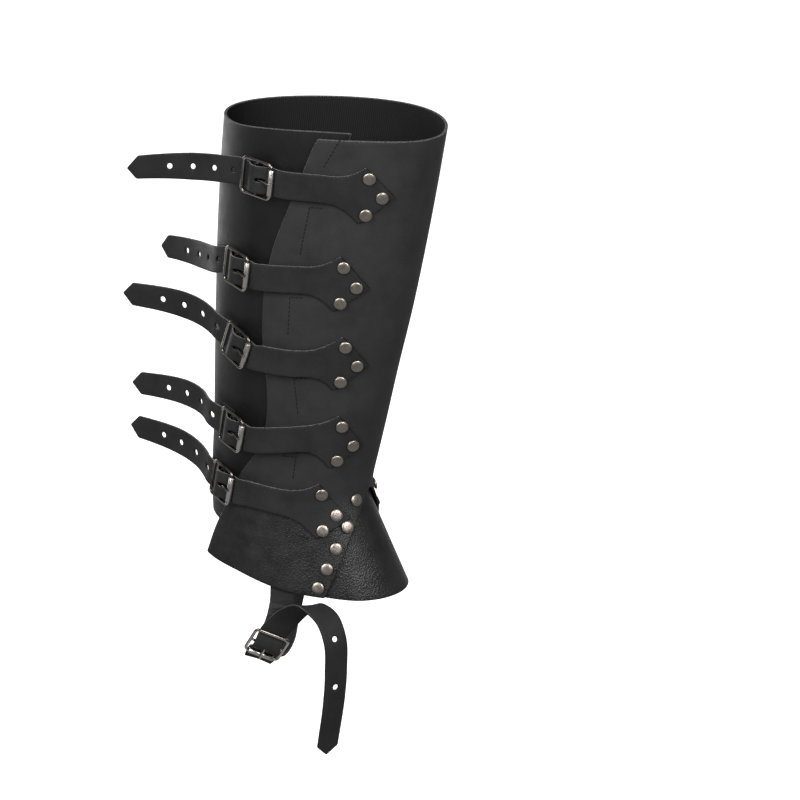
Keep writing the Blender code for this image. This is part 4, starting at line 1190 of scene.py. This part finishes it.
def shell_look():
    """Matte on the leg and the outer flap, darker and smoother on the under flap, glossy on the skirt."""
    look = leather_look("black_leather_face", MATTE_TONES, 0.52, LEG_GRAIN)
    under = look.round_band(*UNDER_BAND)
    skirt = look.band("Object", "Z", *SKIRT_BAND)
    for name, under_row, skirt_row in (
        ("Base Color", (TONE_NOISE, *UNDER_TONES), (GLOSSY_NOISE, *GLOSSY_TONES)),
        ("Roughness", (SHEEN_NOISE, 0.38, 0.46), (SKIRT_NOISE, 0.31, 0.41)),
    ):
        leg = look.shader[name].links[0].from_socket
        upper = look.mixed(under, leg, look.mottled(*under_row))
        look.join(look.mixed(skirt, upper, look.mottled(*skirt_row)), look.shader[name])
    grainy = look.tree.nodes.new("ShaderNodeMath")
    grainy.operation = "MULTIPLY"
    look.join(skirt, grainy.inputs[0])
    look.join(look.round_band(*FRONT_BAND), grainy.inputs[1])
    share = grainy.outputs["Value"]
    grain = look.node("ShaderNodeMapRange", Value=share, To_Min=LEG_GRAIN, To_Max=SKIRT_GRAIN)
    for bump in look.bumps[1:]:
        look.join(grain.outputs["Result"], bump.inputs["Strength"])
    return look.made


def edge_look(name, tone, specular, dark, lighter_tone, where):
    """Cut edge: dark at the low end of a band and lighter at its high end. On the shell the dark end is a
    painted shadow of the gap along the skirt and gusset, and the lighter tone is the edge's own; on the
    straps the dark tone is the edge's own, and the lighter one on upward-facing edges is a painted highlight
    of light from above.
    """
    look = Look(name, (tone,) * 3, 0.6, specular=specular)
    tones = [look.mottled(EDGE_NOISE, *pair) for pair in (dark, lighter_tone)]
    look.join(look.mixed(look.band(*where), *tones), look.shader["Base Color"])
    return look.made


def backing_look():
    """The shell's inner face: plain and dark, with fine upright ribs on the backing past its seam. The ribs
    are a real pattern; their tone follows their relief, with painted shade in the grooves and painted light
    on the ridges.
    """
    look = Look("ribbed_backing", (0.006,) * 3, 0.7, specular=0.2)
    pattern = look.coordinates["UV"]
    wave = look.node("ShaderNodeTexWave", Vector=pattern, Scale=210.0, Distortion=0.4).outputs["Fac"]
    seam, _ = to_pattern(BACKING_SEAM, 0)
    past = look.band("UV", "X", seam + 0.0006, seam)
    # The ribs' tone follows the same wave as their bump: painted shade in the grooves and painted light on
    # the ridges
    ribs = look.ramp(wave, (0.2, 0.004), (0.9, 0.013))
    look.join(look.mixed(past, look.mottled(BACKING_NOISE, 0.004, 0.008), ribs), look.shader["Base Color"])
    look.bump(wave, RIB_RELIEF, 0.3)
    return look.made


def metal_look(name, dark, light, below, roughness, grime, wear):
    """Plated metal: blotches of grime, an underside that takes the below tone, on the wire a painted
    reflection of light from below, and dents of strength wear.
    """
    look = Look(name, light, roughness, 1.0)
    blotches = look.noise(grime, 5.0, 0.6)
    tone = look.ramp(blotches, (0.32, dark), (0.62, light))
    # Painted reflection: faces turned downwards take the underside tone, on the wire a bright painted
    # reflection of light from below
    lighter_tone = look.ramp(blotches, (0.10, light), (0.40, below))
    underside = look.band("Normal", "Z", -0.02, -0.25)
    look.join(look.mixed(underside, tone, lighter_tone), look.shader["Base Color"])
    look.join(look.mottled(DULL_NOISE, roughness - 0.05, roughness + 0.08), look.shader["Roughness"])
    look.bump(look.noise(500.0, 3.0), DENT_RELIEF, wear)
    return look.made


def floor_look():
    look = Look("pale_floor", (0.9,) * 3, 0.9, specular=0.1)
    look.shader["Emission Color"].default_value = (1.0, 1.0, 1.0, 1.0)
    look.shader["Emission Strength"].default_value = FLOOR_GLOW
    return look.made


# Stage


def face_target(name, data, target, back, distance):
    """Object that faces a target from a distance back."""
    made = placed(name, data)
    made.location = target + back * distance
    made.rotation_euler = back.to_track_quat("Z", "Y").to_euler()
    return made


def direction(turn, rise):
    """Direction at an angle round the leg from the toes and an angle up."""
    turn, rise = radians(turn), radians(rise)
    return Vector((cos(turn) * cos(rise), sin(turn) * cos(rise), sin(rise)))


def add_camera():
    """Camera round the outer side, towards the toes and a little above, as far off as a long lens needs."""
    right, back = direction(VIEW_TURN, 0), direction(VIEW_TURN - 90, VIEW_RISE)
    up = back.cross(right)
    metres_per_pixel = VIEW_WIDTH / IMAGE_SIZE
    target = right * ((IMAGE_SIZE / 2 - ANKLE_PIXEL[0]) * metres_per_pixel)
    target += up * ((ANKLE_PIXEL[1] - IMAGE_SIZE / 2) * metres_per_pixel)
    data = bpy.data.cameras.new("camera")
    data.lens = LENS
    data.sensor_width = SENSOR
    data.clip_end = FAR_CLIP
    bpy.context.scene.camera = face_target("camera", data, target, back, VIEW_WIDTH * LENS / SENSOR)


def add_softbox(name, turn, rise, distance, size, power):
    data = bpy.data.lights.new(name, "AREA")
    data.shape = "RECTANGLE"
    data.size, data.size_y = size
    data.energy = power
    face_target(name, data, LIT_MIDDLE, direction(turn, rise), distance)


def add_stage():
    bpy.context.scene.view_settings.view_transform = "Standard"
    world = bpy.data.worlds.new("studio")
    world.use_nodes = True
    background = world.node_tree.nodes["Background"].inputs
    background["Color"].default_value = (1, 1, 1, 1)
    background["Strength"].default_value = WORLD_LIGHT
    bpy.context.scene.world = world
    mesh = bpy.data.meshes.new("floor")
    half = FLOOR_HALF
    corners = [(-half, -half, 0), (half, -half, 0), (half, half, 0), (-half, half, 0)]
    mesh.from_pydata(corners, [], [[0, 1, 2, 3]])
    mesh.materials.append(floor_look())
    floor = placed("floor", mesh)
    floor.location = (0, 0, CAD_BOX[0].z - FLOOR_GAP)
    floor.visible_glossy = False
    floor.visible_diffuse = False
    floor.visible_shadow = False
    for row in SOFTBOXES:
        add_softbox(*row)


def main():
    shell_face = shell_look()
    skirt = leather_look("black_leather_glossy", GLOSSY_TONES, 0.34, SKIRT_GRAIN).made
    strap_face = leather_look("black_leather_strap", MATTE_TONES, 0.50, LEG_GRAIN, 0.14).made
    edge = edge_look(*SHELL_EDGE)
    strap_edge = edge_look(*STRAP_EDGE)
    backing = backing_look()
    wire = metal_look("dark_nickel_wire", *WIRE_TONES, 0.14, 120.0, 0.04)
    roller = metal_look("rubbed_nickel", *ROLLER_TONES, 0.24, 120.0, 0.02)
    antique = metal_look("antique_nickel_plate", *RIVET_TONES, 0.34, 300.0, 0.20)
    straps = [Strap(row) for row in STRAPS]
    build_shell([shell_face, edge, backing])
    build_gusset([skirt, edge, backing])
    looks = [strap_face, strap_edge, strap_face]
    for strap in straps:
        strap.build(looks)
        build_buckle(strap.name, strap.buckle, wire, roller)
        build_strap_rivets(strap, antique)
    build_seam_rivets(antique)
    seat = foot_seat()
    build_buckle("foot", seat, wire, roller)
    build_foot_strap(seat, looks)
    for name in ["foot_stub"] + [f"chape_{strap.name}" for strap in straps]:
        for slot in bpy.data.objects[name].material_slots:
            slot.material = strap_face
    build_stitching(Look("black_thread", (0.007,) * 3, 0.7, specular=0.25).made)
    add_stage()
    add_camera()


main()
